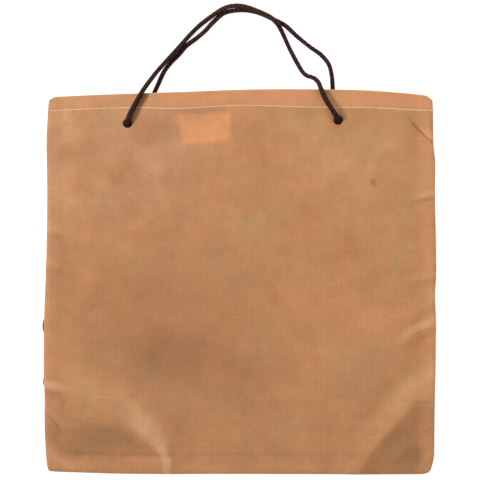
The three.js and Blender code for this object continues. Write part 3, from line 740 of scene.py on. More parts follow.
    # the dots are pressed in, and a little smoother than the loft between them
    m.put(m.shader.inputs["Roughness"], m.math("SUBTRACT", 0.86, m.math("MULTIPLY", dots, 0.16)))
    m.shader.inputs["Specular IOR Level"].default_value = 0.28
    m.shader.inputs["Sheen Weight"].default_value = 0.08
    m.shader.inputs["Sheen Roughness"].default_value = 0.5
    height = m.math("ADD", m.math("MULTIPLY", dots, -1.0), m.math("MULTIPLY", web, 0.9))
    height = m.math("ADD", height, m.math("MULTIPLY", fibres, 0.35))
    m.put(m.shader.inputs["Normal"], m.bump(height, 0.42, 0.00012))
    return m.material


def tapestry_material():
    """Ribbed tapestry weave with an all-over mottle; no picture."""
    m = Nodes("tapestry_cloth")
    at = m.coords()
    x, y, _ = m.split(at)
    flat = m.combine(x, y, 0.0)
    # ribs run along the bag; picks cross them
    rib = m.math("SINE", m.math("MULTIPLY", x, 2 * math.pi / 0.0015))
    pick = m.math("SINE", m.math("ADD", m.math("MULTIPLY", y, 2 * math.pi / 0.0009),
                                 m.math("MULTIPLY", m.math("SIGN", rib), 1.5708)))
    weave = m.math("ADD", m.math("MULTIPLY", rib, 0.6), m.math("MULTIPLY", pick, 0.4))
    # blocks of the weave's own size take one yarn colour each
    cell = m.combine(m.math("SNAP", x, 0.0015), m.math("SNAP", y, 0.0018), 0.0)
    a = m.noise(cell, 42.0, 3.0, 0.6, 0.5)
    b = m.noise(m.scaled(cell, (1, 1, 1), (0.7, 0.3, 0)), 60.0, 2.0, 0.6, 0.3)
    yarn = m.noise(m.scaled(cell, (1, 1, 1), (2.7, 1.3, 0)), 900.0, 1.0)
    colour = m.mix(m.remap(a, 0.42, 0.5), linear(58, 44, 36), linear(104, 74, 48))
    colour = m.mix(m.remap(a, 0.56, 0.62), colour, linear(134, 108, 70))
    colour = m.mix(m.remap(b, 0.55, 0.6), colour, linear(84, 86, 58))
    colour = m.mix(m.remap(b, 0.34, 0.30, 0.0, 1.0), colour, linear(122, 52, 40))
    shade = m.math("ADD", m.remap(yarn, 0.2, 0.8, 0.86, 1.1, "LINEAR"), m.math("MULTIPLY", weave, 0.09))
    colour = m.mix(1.0, colour, m.combine(shade, shade, shade), "MULTIPLY")
    m.put(m.shader.inputs["Base Color"], colour)
    m.shader.inputs["Roughness"].default_value = 0.9
    m.shader.inputs["Specular IOR Level"].default_value = 0.2
    m.shader.inputs["Sheen Weight"].default_value = 0.15
    # a faint glow, painted light standing in for the light that the thin plain cloth lets through onto the tapestry's
    # inner face
    m.shader.inputs["Emission Color"].default_value = (1.0, 0.62, 0.36, 1.0)
    m.shader.inputs["Emission Strength"].default_value = 0.02
    m.put(m.shader.inputs["Normal"], m.bump(weave, 0.8, 0.00018))
    return m.material


def cord_material():
    m = Nodes("handle_cord")
    at = m.coords()
    groove, strand, along_cord = m.attribute("groove"), m.attribute("strand"), m.attribute("along")
    patchy = m.noise(at, 190.0, 3.0, 0.6)
    colour = m.mix(m.remap(patchy, 0.4, 0.62), linear(38, 17, 13), linear(62, 29, 22))
    colour = m.mix(m.remap(strand, 0.2, 0.9, 0.0, 0.35, "LINEAR"), colour, linear(51, 31, 27))
    fibre = m.noise(m.scaled(at, (1, 1, 1)), 2600.0, 3.0, 0.65)
    # painted light and shade of the braid: paler on the strands' crowns and far darker deep in the grooves, with a
    # fibre mottle
    shade = m.math("MULTIPLY", m.remap(groove, 0.15, 0.95, 1.22, 0.18, "LINEAR"),
                   m.remap(fibre, 0.25, 0.75, 0.82, 1.18, "LINEAR"))
    # painted light and shade: the cord is paler towards the top of the handles and darker lower down
    _, up_bag, _ = m.split(at)
    shade = m.math("MULTIPLY", shade, m.remap(up_bag, 0.205, 0.242, 0.86, 1.22))
    colour = m.mix(1.0, colour, m.combine(shade, shade, shade), "MULTIPLY")
    m.put(m.shader.inputs["Base Color"], colour)
    m.shader.inputs["Roughness"].default_value = 0.68
    m.shader.inputs["Specular IOR Level"].default_value = 0.18
    m.put(m.shader.inputs["Normal"], m.bump(fibre, 0.5, 0.00015))
    return m.material


def thread_material():
    m = Nodes("sewing_thread")
    at = m.coords()
    twist = m.noise(m.scaled(at, (1, 3, 1), (0, 0, 0), 0.6), 2400.0, 2.0, 0.5)
    colour = m.mix(m.remap(twist, 0.3, 0.7), linear(240, 200, 164), linear(250, 218, 188))
    m.put(m.shader.inputs["Base Color"], colour)
    m.shader.inputs["Roughness"].default_value = 0.5
    m.put(m.shader.inputs["Normal"], m.bump(twist, 0.4, 0.0001))
    return m.material


PLAIN, TAPESTRY, CORD, THREAD = plain_cloth_material(), tapestry_material(), cord_material(), thread_material()

# ------------------------------------------------------------------ cords and knots
RING_STEP, AROUND = 0.42, 36
KNOT_STRAND = 1.62


def knot_parts(centre, phase):
    """A pulled-tight overhand knot: its round turn, and a short tail sealed by heat."""
    t = np.linspace(0, 2 * np.pi, 400, endpoint=False)
    wide = (KNOT_SIZE[0] / 2 - KNOT_STRAND) / 3.0
    tall = KNOT_SIZE[2] / 2 - KNOT_STRAND
    line = np.stack([(np.sin(t) + 2 * np.sin(2 * t)) * wide, (np.cos(t) - 2 * np.cos(2 * t)) * wide,
                     -np.sin(3 * t) * tall], 1)
    turn = phase
    c, s = math.cos(turn), math.sin(turn)
    line = line @ np.array([[c, s, 0], [-s, c, 0], [0, 0, 1]])
    line, _ = spaced(line + np.array(centre), 110, closed=True)
    parts = [braided_tube(line, KNOT_STRAND, 24, closed=True, pitch=8.5)]
    tail_dir = np.array([math.sin(turn) * 0.6, -1.0, 0.0])
    tail_dir /= np.linalg.norm(tail_dir)
    start = np.array(centre) + tail_dir * 1.5 + np.array([0, 0, -0.6])
    tail = start + tail_dir * np.linspace(0, 8.5, 30)[:, None] + np.array([0, 0, -0.6]) * (np.linspace(0, 1, 30) ** 2)[:, None]
    tail, _ = spaced(tail, 22)
    parts.append(braided_tube(tail, 1.75, 24, end_cap=1.5, phase=3.0))
    return joined(parts)


for name, route, phase, over_cloth in (("front", FRONT_ROUTE, 0.0, 1.0), ("back", BACK_ROUTE, 4.1, 0.0)):
    line = centripetal(route)
    _, long = spaced(line, 10)
    line, long = spaced(line, int(round(long / RING_STEP)) + 1)
    points, faces, attributes = braided_tube(line, CORD_CROWN, AROUND, start_cap=1.2, end_cap=1.2, phase=phase, swell=cord_swell(line, over_cloth))
    o = make_object(f"{name}_cord", points, faces, CORD, attributes)
    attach(o, "root")
    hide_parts(f"{name}_handle")

for k, (name, kx, ky, kz) in enumerate(KNOTS):
    points, faces, attributes = knot_parts((kx, ky, kz), 0.7 * k)
    o = make_object(f"{name}_tied", points, faces, CORD, attributes)
    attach(o, "root")
    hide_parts(name)


# ------------------------------------------------------------------ the plain panel
def stations(low, high, step, fine=(), fine_step=1.0, reach=7.0):
    """Places from low to high about a step apart, closer together near the fine ones."""
    out = [low]
    while out[-1] < high - 1e-6:
        s = step
        for f in fine:
            away = abs(out[-1] + s / 2 - f)
            s = min(s, fine_step + (step - fine_step) * float(smooth(np.array((away - reach) / 8.0))))
        out.append(out[-1] + s)
    out = np.array(out)
    return low + (out - low) * (high - low) / (out[-1] - low)


def fine_relief(x, y):
    """What the thin cloth does that the CAD's solid leaves out."""
    dl, dr, db = from_sides(x, y)
    side = np.minimum(dl, dr)
    edge = np.minimum(side, db)
    up = y - hem_line(x)
    # turned allowances lift the cloth beside the seams
    z = 0.30 * (1 - smooth((side - SIDE_ALLOWANCE + 2) / 4.0)) + 0.30 * (1 - smooth((db - BOTTOM_ALLOWANCE + 2) / 4.0))
    z *= smooth(edge / 3.0)
    # puckers where the side and bottom seams draw the cloth in
    z += 0.42 * np.exp(-side / 8.0) * smooth(side / 2.0) * waves(x * 0.25, y, 11, 9, 11, 34)
    z += 0.30 * np.exp(-db / 8.0) * smooth(db / 2.0) * waves(x, y * 0.25, 12, 9, 12, 36)
    # the stitched line bites in, and draws small ripples across the hem
    z -= 0.32 * np.exp(-(up / 1.1) ** 2)
    z += 0.13 * np.exp(-np.abs(up) / 6.0) * waves(x, y * 0.2, 13, 10, 7, 19)
    # soft unevenness all over
    z += (0.34 * waves(x, y, 21, 14, 48, 110) + 0.13 * waves(x, y, 22, 18, 20, 44)) * smooth(edge / 16.0)
    return z


def plain_z(x, y):
    """Middle of the plain cloth's single layer."""
    return plain_top(x, y) + fine_relief(x, y) - PLAIN_CLOTH / 2


def hole_warp(gx, gy, hole, radius, block):
    """Moves grid points so that a block of cells becomes a round hole; gives the block's corner."""
    hx, hy = hole
    j0, i0 = np.unravel_index(np.argmin((gx - hx) ** 2 + (gy - hy) ** 2), gx.shape)
    reach = 2 * block + 2
    j, i = np.mgrid[j0 - reach:j0 + reach + 1, i0 - reach:i0 + reach + 1]
    ring = np.maximum(np.abs(j - j0), np.abs(i - i0)) / block
    # first move the whole neighbourhood so that the middle vertex sits on the hole's centre
    w = smooth((reach / block - ring) / (reach / block - 1))
    gx[j, i] += (hx - gx[j0, i0]) * w
    gy[j, i] += (hy - gy[j0, i0]) * w
    px, py = gx[j, i] - hx, gy[j, i] - hy
    far = np.hypot(px, py)
    far = np.where(far == 0, 1, far)
    qx, qy = px / far * radius * ring, py / far * radius * ring
    w = np.where(ring <= 1, 1.0, w)
    gx[j, i], gy[j, i] = hx + px * (1 - w) + qx * w, hy + py * (1 - w) + qy * w
    return j0, i0


def panel_grid(edge_left, edge_right, edge_bottom, edge_mouth, line_at, columns, rows, hem_rows):
    """x and y of a panel's single layer. Rows run from the bottom seam to the stitched line, then to the mouth."""
    u = (columns - columns[0]) / (columns[-1] - columns[0])
    v = (rows - rows[0]) / (rows[-1] - rows[0])
    y0 = np.concatenate([rows, rows[-1] + (hem_rows[1:]) * 14.0])
    gx = edge_left(y0)[:, None] * (1 - u) + edge_right(y0)[:, None] * u
    b, h, m = edge_bottom(gx), line_at(gx), edge_mouth(gx)
    body = b[:len(rows)] + (h[:len(rows)] - b[:len(rows)]) * v[:, None]
    hem = h[len(rows):] + (m[len(rows):] - h[len(rows):]) * hem_rows[1:, None]
    return gx, np.concatenate([body, hem])


ROLL_STEPS = 6


def rolled_panel(name, gx, gy, middle, allowance_middle, hem_return, thick, roll, hem_roll, up, material, masks,
                 holes, allowance, allowance_bottom, hem_at, hem_deep):
    """A panel with its seam allowances turned inside and its mouth hemmed, as one closed sheet.
    up is 1 where the inside lies below the cloth and -1 where it lies above."""
    rows, cols = gx.shape
    # inset the single layer by the roll, so the rolled edge reaches the outline
    cx, cy = gx.copy(), gy.copy()
    inset = roll + thick / 2
    dist = gx - gx[:, :1]
    cx += inset * np.clip(1 - dist / 6.0, 0, 1) ** 2
    dist = gx[:, -1:] - gx
    cx -= inset * np.clip(1 - dist / 6.0, 0, 1) ** 2
    dist = gy - gy[:1]
    cy += inset * np.clip(1 - dist / 6.0, 0, 1) ** 2
    dist = gy[-1:] - gy
    cy -= (hem_roll + thick / 2) * np.clip(1 - dist / 5.0, 0, 1) ** 2
    z = middle(cx, cy)
    grid = np.stack([cx, cy, z], 2)

    angles = np.pi * np.arange(1, ROLL_STEPS + 1) / ROLL_STEPS
    strip = np.array([1.2, 2.6, 4.2, 6.3, 8.4, 10.5])

    def side(edge, inward, wide):
        """Points beyond one edge: the roll, then the allowance going back inside."""
        out = []
        for a in angles:
            p = edge.copy()
            p[:, :2] -= inward[:, :2] * roll * math.sin(a)
            p[:, 2] -= up * roll * (1 - math.cos(a))
            out.append(p)
        low = out[-1]
        for s in strip * wide / strip[-1]:
            p = low.copy()
            p[:, :2] += inward[:, :2] * s
            t = smooth(np.array(s / 5.0))
            p[:, 2] = low[:, 2] * (1 - t) + allowance_middle(p[:, 0], p[:, 1]) * t
            out.append(p)
        return out

    def inward_of(edge, sign):
        t = np.gradient(edge[:, :2], axis=0)
        t /= np.linalg.norm(t, axis=1, keepdims=True)
        return np.stack([t[:, 1] * sign, -t[:, 0] * sign], 1)

    left_out = side(grid[:, 0], inward_of(grid[:, 0], 1), allowance)
    right_out = side(grid[:, -1], inward_of(grid[:, -1], -1), allowance)
    bottom_out = side(grid[0], inward_of(grid[0], -1), allowance_bottom)
    # the mouth: round the fold and back down inside
    top = grid[-1]
    top_out = []
    for a in angles:
        p = top.copy()
        p[:, 1] += hem_roll * math.sin(a)
        p[:, 2] -= up * hem_roll * (1 - math.cos(a))
        top_out.append(p)
    low = top_out[-1]
    deep = np.array([0.1, 0.22, 0.36, 0.5, 0.64, 0.78, 0.9, 1.0])
    for s in deep:
        p = low.copy()
        p[:, 1] = low[:, 1] - s * hem_deep(low[:, 0])
        p[:, 2] = hem_return(p[:, 0], p[:, 1])
        top_out.append(p)

    extra = len(left_out)
    under, over = len(bottom_out), len(top_out)
    full = np.zeros((under + rows + over, extra + cols + extra, 3))
    full[under:under + rows, extra:extra + cols] = grid
    for k in range(extra):
        full[under:under + rows, extra - 1 - k] = left_out[k]
        full[under:under + rows, extra + cols + k] = right_out[k]
    for k in range(under):
        full[under - 1 - k, extra:extra + cols] = bottom_out[k]
    for k in range(over):
        full[under + rows + k, extra:extra + cols] = top_out[k]

    keep = np.zeros((full.shape[0] - 1, full.shape[1] - 1), bool)
    keep[under:under + rows - 1, :] = True                          # the layer and its side allowances
    keep[:under, extra:extra + cols - 1] = True                     # bottom allowance
    keep[under + rows - 1:, extra + 2:extra + cols - 3] = True      # hem, short of the side seams
    # side allowances are trimmed to a few millimetres inside the hem, and near the corners
    trimmed = ROLL_STEPS + 1
    keep[under + hem_at:under + rows - 1, :extra - trimmed] = False
    keep[under + hem_at:under + rows - 1, extra + cols - 1 + trimmed:] = False
    keep[under:under + 8, :extra - trimmed] = False
    keep[under:under + 8, extra + cols - 1 + trimmed:] = False
    keep[:under - trimmed, extra:extra + 8] = False
    keep[:under - trimmed, extra + cols - 9:extra + cols - 1] = False
    for (j0, i0), block in holes:
        keep[under + j0 - block:under + j0 + block, extra + i0 - block:extra + i0 + block] = False
    fields = {k: f(full[..., 0], full[..., 1], full[..., 2]) for k, f in masks.items()}
    return cloth(name, full, keep, thick, material, fields)


# columns and rows of the plain panel
columns = stations(-174.0, 174.0, 1.85, fine=(PLAIN_HOLES[0][0], PLAIN_HOLES[1][0]), fine_step=1.05, reach=5.5)
rows = stations(-171.7, 155.0, 1.85, fine=(143.0, 155.0), fine_step=1.05, reach=6.0)
hem_rows = np.linspace(0, 1, 11)
gx, gy = panel_grid(left, right, bottom, mouth, hem_line, columns, rows, hem_rows)
holes = [(hole_warp(gx, gy, h, HOLE_RADIUS + PLAIN_CLOTH / 2 * 0, 4), 4) for h in PLAIN_HOLES]


def tapestry_middle(x, y):
    return tapestry_under(x, y) + TAPESTRY_CLOTH / 2


def plain_allowance_middle(x, y):
    """The plain cloth's allowance lies on the tapestry's, which lies on the tapestry."""
    return tapestry_middle(x, y) + TAPESTRY_CLOTH + 0.08 + TAPESTRY_CLOTH / 2 + PLAIN_CLOTH / 2 + 0.08


def plain_hem_return(x, y):
    return plain_z(x, y) - 2 * HEM_ROLL - 0.03


def double_mask(x, y, z):
    dl, dr, db = from_sides(x, y)
    side = (1 - smooth((dl - SIDE_ALLOWANCE + 3.0) / 4.5)) * (0.8 + 0.2 * waves(x * 0.5, y, 43, 8, 20, 60))
    side = np.maximum(side, (1 - smooth((dr - SIDE_ALLOWANCE + 4.5) / 5.0)) * (0.75 + 0.25 * waves(x * 0.5, y, 44, 8, 20, 60))
                      * (1 - 0.6 * smooth((-96 - y) / 20)))
    low = (1 - smooth((db - BOTTOM_ALLOWANCE + 1.2) / 2.4)) * (0.6 + 0.4 * waves(x, y * 0.5, 46, 8, 20, 60))
    hem = smooth((y - hem_line(x) + 0.6) / 1.2)
    return np.clip(np.maximum.reduce([side * 0.38, low * 0.18, hem]), 0, 1)


PATCH = [(-54.9, 149.3), (-9.5, 150.3), (-8.3, 128.9), (-27.3, 124.1), (-51.8, 122.8)]


def inside_of(corners, x, y):
    """How far inside a convex outline, whichever way round its corners go."""
    inside = np.full(np.shape(x), 1e9)
    n = len(corners)
    area = sum(corners[k][0] * corners[(k + 1) % n][1] - corners[(k + 1) % n][0] * corners[k][1] for k in range(n))
    for k in range(n):
        (ax, ay), (bx, by) = corners[k], corners[(k + 1) % n]
        ux, uy = bx - ax, by - ay
        d = (ux * (y - ay) - uy * (x - ax)) / math.hypot(ux, uy)
        inside = np.minimum(inside, d if area > 0 else -d)
    return inside


def patch_mask(x, y, z):
    """A faded place, a little irregular."""
    return smooth((inside_of(PATCH, x, y) + 2.0 + 0.5 * waves(x, y, 31, 6, 6, 16)) / 3.8)


# Soft ellipses of painted light and shade of folds, hollows and uneven light (darker where negative, lighter where
# positive), in places also the dark tapestry showing through, which the olive column tints: x, y, half width, half
# height, turn, how much, olive
PAINTED_LIGHT_SHADE_AND_SHOW_THROUGH = [
    (-120.8, -137.0, 42.0, 13.4, -14, -0.13, 0.12),
    (-168.1, -133.4, 6.3, 11.6, 0, -0.2, 0.1),
    (-60.0, -70.0, 92.0, 36.0, -6, -0.10, 0.0),
    (-67.2, -62.8, 60.0, 17.0, -6, -0.03, 0.0),
    (-80.6, -32.5, 78.6, 71.4, 0, -0.1, 0.0),
    (-25.0, -66.0, 70.0, 60.0, 0, -0.055, 0.0),
    (-3.8, -93.2, 46.4, 26.8, 0, -0.05, 0.0),
    (-152.1, 30.9, 19.6, 8.0, -12, -0.09, 0.0),
    (150.5, 68.3, 9.5, 4.4, 0, -0.11, 0.0),
        (-8.0, 112.0, 72.0, 40.0, 0, 0.012, 0.0),
    (-115.0, -42.0, 26.0, 22.0, 0, -0.035, 0.0),
    (-70.0, 25.0, 60.0, 42.0, 0, -0.02, 0.0),
    (19.4, -16.4, 53.6, 30.4, -10, -0.03, 0.0),
    (111.4, 113.1, 71.4, 55.4, 0, 0.068, 0.0),
    (98.0, -34.3, 55.4, 53.6, 0, 0.02, 0.0),
    (-159.2, 77.4, 17.9, 21.4, 0, 0.07, 0.0),
    (10.0, -133.0, 85.0, 32.0, 0, -0.045, 0.0),
    (-25.0, 60.0, 34.0, 26.0, 0, -0.03, 0.0),
    (-98.5, -162.5, 67.0, 7.0, 0, -0.04, 0.0),
    (-143.1, -16.4, 31.0, 27.0, 0, -0.05, 0.0),
    (-158.0, 161.0, 62.0, 9.0, 0, -0.07, 0.0),
    (141.0, 92.0, 20.0, 30.0, 0, -0.03, 0.0),
    (-160.0, -2.0, 15.0, 26.0, 0, -0.10, 0.0),
    (-163.0, -44.0, 10.0, 14.0, 0, -0.06, 0.0),
    (-18.0, -161.5, 34.0, 8.5, 0, -0.085, 0.0),
    (84.0, -161.5, 48.0, 7.5, 0, -0.06, 0.0),
    (-113.0, -118.0, 20.0, 7.0, -20, 0.045, 0.3),
    (150.0, 158.0, 36.0, 7.0, -4, 0.035, 0.0),
    (-130.0, -78.0, 34.0, 14.0, 0, 0.025, 0.2),
    (-128.0, -97.0, 34.0, 15.0, -10, 0.0, 0.45),
    (-88.0, -116.0, 22.0, 12.0, -40, 0.0, 0.25),
    (76.0, -135.0, 42.0, 24.0, 0, -0.03, 0.0),
    (-40.0, 62.0, 22.0, 14.0, 0, -0.02, 0.0),
    (-55.6, -121.8, 12.5, 23.2, 0, -0.06, 0.0),
    (151.6, -141.4, 62.5, 35.7, -30, -0.05, 0.0),
]
# Painted highlights along fold ridges, where the cloth reads lighter: [(x, y, how much)], half width
PAINTED_RIDGE_HIGHLIGHTS = [
    ([(-106.0, -75.0, 0.03), (-103.0, -90.0, 0.06), (-97.0, -104.0, 0.08), (-96.0, -113.0, 0.10), (-91.0, -123.5, 0.12),
      (-82.0, -133.5, 0.14), (-73.5, -142.5, 0.13), (-68.0, -150.5, 0.06)], 16.5),
    ([(-75.0, -143.0, 0.03), (-69.5, -152.5, 0.13), (-65.5, -160.0, 0.15), (-66.0, -171.0, 0.16)], 5.2),
    ([(174.0, -34.5, 0.10), (166.0, -37.5, 0.11), (157.0, -41.0, 0.11), (151.0, -43.5, 0.12), (145.0, -49.5, 0.08), (138.0, -57.0, 0.02)], 5.2),
    ([(-161.0, -86.0, 0.03), (-146.0, -93.0, 0.07), (-129.0, -99.0, 0.085), (-113.0, -103.0, 0.02)], 20.0),
    ([(172.0, -78.0, 0.06), (154.0, -92.0, 0.08), (138.0, -109.0, 0.08), (122.0, -128.0, 0.11), (112.0, -141.0, 0.03), (100.0, -158.0, 0.0)], 12.0),
    ([(172.0, 79.5, 0.08), (160.0, 77.0, 0.06), (152.0, 75.0, 0.02)], 3.6),
    ([(-176.0, -90.5, 0.10), (-166.5, -92.5, 0.13), (-158.5, -95.0, 0.07), (-151.0, -97.0, 0.0)], 4.8),
    ([(-176.0, -108.5, 0.07), (-167.0, -119.0, 0.07), (-158.0, -130.0, 0.02)], 3.0),
    ([(-173.0, -149.0, 0.05), (-164.0, -158.5, 0.10), (-152.0, -164.5, 0.08), (-138.0, -168.0, 0.03)], 5.4),
    ([(-170.0, 60.0, 0.03), (-168.0, 47.0, 0.06), (-167.0, 34.0, 0.03)], 6.0),
    ([(-172.0, 70.0, 0.05), (-172.5, 40.0, 0.06), (-174.0, -10.0, 0.05), (-175.0, -85.0, 0.05)], 4.2),
    ([(171.5, 100.0, 0.02), (171.5, 6.0, 0.05), (171.0, -16.0, 0.09), (171.5, -26.0, 0.06), (171.5, -36.0, 0.0), (171.5, -45.0, 0.02), (171.5, -60.0, 0.07),
      (171.5, -85.0, 0.06), (172.0, -120.0, 0.03)], 5.0),
    ([(169.5, 130.0, 0.12), (164.0, 136.5, 0.08), (158.0, 144.0, 0.02)], 5.5),
]
# Painted shade where folds turn away from the light and lie against the dark tapestry: corners in order, softness, how
# much, and the x over which it fades
SHADED = [
    ([(155.0, -105.0), (160.0, -104.2), (176.0, -106.5), (176.0, -172.7), (94.5, -172.7), (98.0, -162.0), (105.5, -153.0),
      (117.5, -145.0), (125.0, -138.0), (131.5, -131.5)], 5.5, -0.085, (158.0, 173.0)),
    ([(154.0, -118.0), (159.0, -118.0), (161.4, -141.4), (166.0, -161.1), (158.0, -168.2), (144.0, -168.2), (146.0, -145.0)], 9.0, -0.035, None),
    ([(104.0, -157.0), (160.0, -153.0), (161.0, -172.7), (96.0, -172.7)], 6.0, -0.03, None),
    ([(150.0, -147.0), (163.0, -148.0), (163.5, -157.0), (153.0, -170.0), (137.0, -170.0), (136.0, -162.0)], 7.0, -0.14, None),
    ([(156.0, -104.5), (174.0, -106.5), (174.5, -122.0), (160.0, -126.0)], 5.0, -0.03, None),
    ([(-168.1, -142.0), (-161.0, -131.5), (-125.3, -128.5), (-98.5, -134.3), (-80.6, -146.8), (-71.0, -156.3), (-163.7, -156.3)], 4.0, -0.105, None),
    ([(-158.0, -142.0), (-120.0, -140.0), (-95.0, -142.0), (-80.0, -149.0), (-71.0, -156.3), (-158.0, -156.3)], 4.0, -0.05, None),
    ([(-176.0, -117.0), (-164.0, -131.0), (-160.5, -143.0), (-171.0, -143.0)], 4.0, -0.04, None),
]


# Painted light and shade of folds, ridges and hollows, which the plain cloth's material takes in as its tone attribute
def painted_light_and_shade_mask(x, y, z):
    out = np.zeros(np.shape(x))
    wander = 5.0 * waves(x, y, 41, 10, 18, 60)
    for cx, cy, rx, ry, turn, much, _ in PAINTED_LIGHT_SHADE_AND_SHOW_THROUGH:
        a = math.radians(turn)
        px, py = (x - cx) * math.cos(a) + (y - cy) * math.sin(a), (y - cy) * math.cos(a) - (x - cx) * math.sin(a)
        out += much * smooth(1.25 - np.hypot((px + wander * 0.6) / rx, (py + wander * 0.4) / ry))
    for line, half in PAINTED_RIDGE_HIGHLIGHTS:
        d, _, much = near_line(line, x, y)
        out += much * smooth(1.2 - d / half)
    for corners, soft, much, fade in SHADED:
        one = much * smooth((inside_of(corners, x, y) + soft / 2 + 0.8 * waves(x, y, 45, 6, 8, 20)) / soft)
        out += one * (smooth((fade[1] - x) / (fade[1] - fade[0])) if fade else 1.0)
    # painted shade in a band just inside the turned allowance of the bottom seam, where the cloth sinks
    db = from_sides(x, y)[2]
    out -= 0.08 * np.exp(-((db - BOTTOM_ALLOWANCE - 2.0) / 1.8) ** 2) * smooth((x + 165) / 20) * smooth((125 - x) / 20)
    return out


def olive_mask(x, y, z):
    out = np.zeros(np.shape(x))
    wander = 5.0 * waves(x, y, 42, 10, 18, 60)
    for cx, cy, rx, ry, turn, _, much in PAINTED_LIGHT_SHADE_AND_SHOW_THROUGH:
        a = math.radians(turn)
        px, py = (x - cx) * math.cos(a) + (y - cy) * math.sin(a), (y - cy) * math.cos(a) - (x - cx) * math.sin(a)
        out = np.maximum(out, much * smooth(1.25 - np.hypot((px + wander * 0.6) / rx, (py + wander * 0.4) / ry)))
    return out


plain = rolled_panel(
    "plain_cloth_panel", gx, gy, plain_z, plain_allowance_middle, plain_hem_return, PLAIN_CLOTH, PLAIN_ROLL, HEM_ROLL,
    1, PLAIN, {"double": double_mask, "patch": patch_mask, "tone": painted_light_and_shade_mask, "olive": olive_mask}, holes, SIDE_ALLOWANCE, BOTTOM_ALLOWANCE,
    len(rows) - 1, lambda x: mouth(x) - hem_line(x) - 0.6)
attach(plain, "root")
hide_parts("plain_panel")


# ------------------------------------------------------------------ the tapestry panel
def rolled_out(y):
    out = np.zeros(np.shape(y))
    for _, y0, half, by in ROLLED_SEAM:
        out = np.maximum(out, (by + TAPESTRY_INSET) * np.maximum(0, 1 - np.abs((y - y0) / half) ** 2))
    return out


def tapestry_left(y):
    return left(y) + TAPESTRY_INSET - rolled_out(y)


def tapestry_right(y):
    return right(y) - TAPESTRY_INSET


def tapestry_bottom(x):
    return bottom(x) + TAPESTRY_INSET


def tapestry_mouth(x):
    return mouth(x) - TAPESTRY_MOUTH_INSET


def tapestry_hem_line(x):
    return tapestry_mouth(x) - TAPESTRY_HEM + 0.5 * np.sin(x / 31.0)


t_columns = stations(-174.0, 174.0, 2.6, fine=(TAPESTRY_HOLES[0][0], TAPESTRY_HOLES[1][0]), fine_step=1.1, reach=5.5)
t_rows = stations(-171.7, 155.0, 2.6, fine=(144.0,), fine_step=1.1, reach=6.0)
tx, ty = panel_grid(tapestry_left, tapestry_right, tapestry_bottom, tapestry_mouth, tapestry_hem_line,
                    t_columns, t_rows, np.linspace(0, 1, 9))
t_holes = [(hole_warp(tx, ty, h, HOLE_RADIUS, 4), 4) for h in TAPESTRY_HOLES]


def tapestry_allowance_middle(x, y):
    return tapestry_middle(x, y) + TAPESTRY_CLOTH + 0.06


def tapestry_hem_return(x, y):
    return tapestry_middle(x, y) + 2 * TAPESTRY_ROLL


tapestry = rolled_panel(
    "tapestry_cloth_panel", tx, ty, tapestry_middle, tapestry_allowance_middle, tapestry_hem_return, TAPESTRY_CLOTH,
    TAPESTRY_ROLL, TAPESTRY_ROLL, -1, TAPESTRY, {}, t_holes, SIDE_ALLOWANCE, BOTTOM_ALLOWANCE, len(t_rows) - 1,
    lambda x: tapestry_mouth(x) - tapestry_hem_line(x) - 0.4)
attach(tapestry, "root")
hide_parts("tapestry_panel")


# ------------------------------------------------------------------ stitches
def stitches(name, line_at, z_at, x0, x1, pitch, up, radius=0.34, seed=5, bury=0.18):
    """A row of machine stitches along a line: each a short length of thread that dips into the cloth at both ends."""
    r = np.random.default_rng(seed)
    points, faces, base = [], [], 0
    x = x0
    sides, rings = 8, 9
    a = 2 * np.pi * np.arange(sides) / sides
    while x < x1:
        long = pitch * r.uniform(0.94, 1.06)
        gap = 0.12
        t = np.linspace(0, 1, rings)
        px = x + gap / 2 + (long - gap) * t
        py = line_at(px) + r.uniform(-0.08, 0.08) + (t - 0.5) * r.uniform(-0.12, 0.12)
        lift = np.sin(np.pi * t) ** 0.6
        pz = z_at(px, py) + up * (0.02 + 0.30 * lift - bury)
        rad = radius * (0.35 + 0.65 * np.sin(np.pi * np.clip(t, 0.03, 0.97)) ** 0.45)
        line = np.stack([px, py, pz], 1)
        _, u, w = frames_along(line)
        ring = (line[:, None] + u[:, None] * (rad[:, None] * np.cos(a))[..., None]
                + w[:, None] * (rad[:, None] * np.sin(a))[..., None]).reshape(-1, 3)
        points.append(np.concatenate([ring, line[:1], line[-1:]]))
        for k in range(rings - 1):
            for s in range(sides):
                s2 = (s + 1) % sides
                faces.append((base + k * sides + s, base + k * sides + s2, base + (k + 1) * sides + s2,
                              base + (k + 1) * sides + s))
        end = rings * sides
        for s in range(sides):
            s2 = (s + 1) % sides
            faces.append((base + s2, base + s, base + end))
            faces.append((base + (rings - 1) * sides + s, base + (rings - 1) * sides + s2, base + end + 1))
        base += end + 2
        x += long
    o = make_object(name, np.concatenate(points), faces, THREAD)
    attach(o, "root")
    return o


hem_thread = stitches("hem_stitches", hem_line, lambda x, y: plain_z(x, y) + PLAIN_CLOTH / 2,
                      -170.0, 170.6, 2.9, 1)
tapestry_thread = stitches("tapestry_hem_stitches", lambda x: tapestry_hem_line(x) + 0.8, lambda x, y: tapestry_under(x, y),
                           -168.5, 169.0, 2.9, -1, radius=0.24, seed=6, bury=0.34)


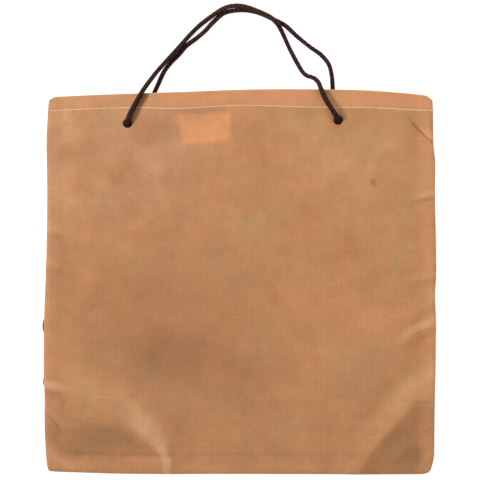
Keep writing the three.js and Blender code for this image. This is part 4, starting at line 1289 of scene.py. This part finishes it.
# ------------------------------------------------------------------ floor and light
def floor_material():
    m = Nodes("floor")
    at = m.coords()
    tone = m.remap(m.noise(at, 3.0, 2.0), 0.3, 0.7, 0.31, 0.33, "LINEAR")
    m.put(m.shader.inputs["Base Color"], m.combine(tone, tone, tone))
    m.shader.inputs["Roughness"].default_value = 0.9
    m.shader.inputs["Specular IOR Level"].default_value = 0.1
    m.shader.inputs["Emission Color"].default_value = (1, 1, 1, 1)
    m.shader.inputs["Emission Strength"].default_value = 0.9
    return m.material


size = 9000.0
floor = make_object("floor", [(-size, -size, -0.3), (size, -size, -0.3), (size, size, -0.3), (-size, size, -0.3)],
                    [(0, 1, 2, 3)], floor_material(), smooth_shading=False)


def area_light(name, place, power, wide, high, colour=(1, 1, 1)):
    data = bpy.data.lights.new(name, "AREA")
    data.shape, data.size, data.size_y = "RECTANGLE", wide, high
    data.energy, data.color = power, colour
    o = bpy.data.objects.new(name, data)
    bpy.context.scene.collection.objects.link(o)
    o.location = place
    target = np.array([0.0, 0.02, 0.0])
    direction = target - np.array(place)
    from mathutils import Vector
    o.rotation_mode = "QUATERNION"
    o.rotation_quaternion = Vector(direction).to_track_quat("-Z", "Y")
    return o


area_light("key_left", (-10.0, 0.7, 8.4), 1420.0, 3.5, 3.5, (1.0, 0.99, 0.97))
area_light("top_edge", (0.0, 1.24, 0.72), 11.5, 1.5, 0.5)
area_light("fill_right", (2.3, 0.2, 1.15), 13.0, 1.6, 1.2, (1.0, 0.95, 0.89))


def world_light():
    """A bright horizon that fades to a dim zenith."""
    world = bpy.data.worlds.new("world")
    world.use_nodes = True
    tree = world.node_tree
    at = tree.nodes.new("ShaderNodeTexCoord")
    split = tree.nodes.new("ShaderNodeSeparateXYZ")
    tree.links.new(at.outputs["Generated"], split.inputs[0])
    fade = tree.nodes.new("ShaderNodeMapRange")
    fade.interpolation_type, fade.clamp = "SMOOTHERSTEP", True
    for k, v in zip(("From Min", "From Max", "To Min", "To Max"), (-0.05, 0.6, 0.95, 0.06)):
        fade.inputs[k].default_value = v
    tree.links.new(split.outputs[2], fade.inputs["Value"])
    tree.links.new(fade.outputs[0], tree.nodes["Background"].inputs["Strength"])
    tree.nodes["Background"].inputs["Color"].default_value = (1, 1, 1, 1)
    return world


bpy.context.scene.world = world_light()
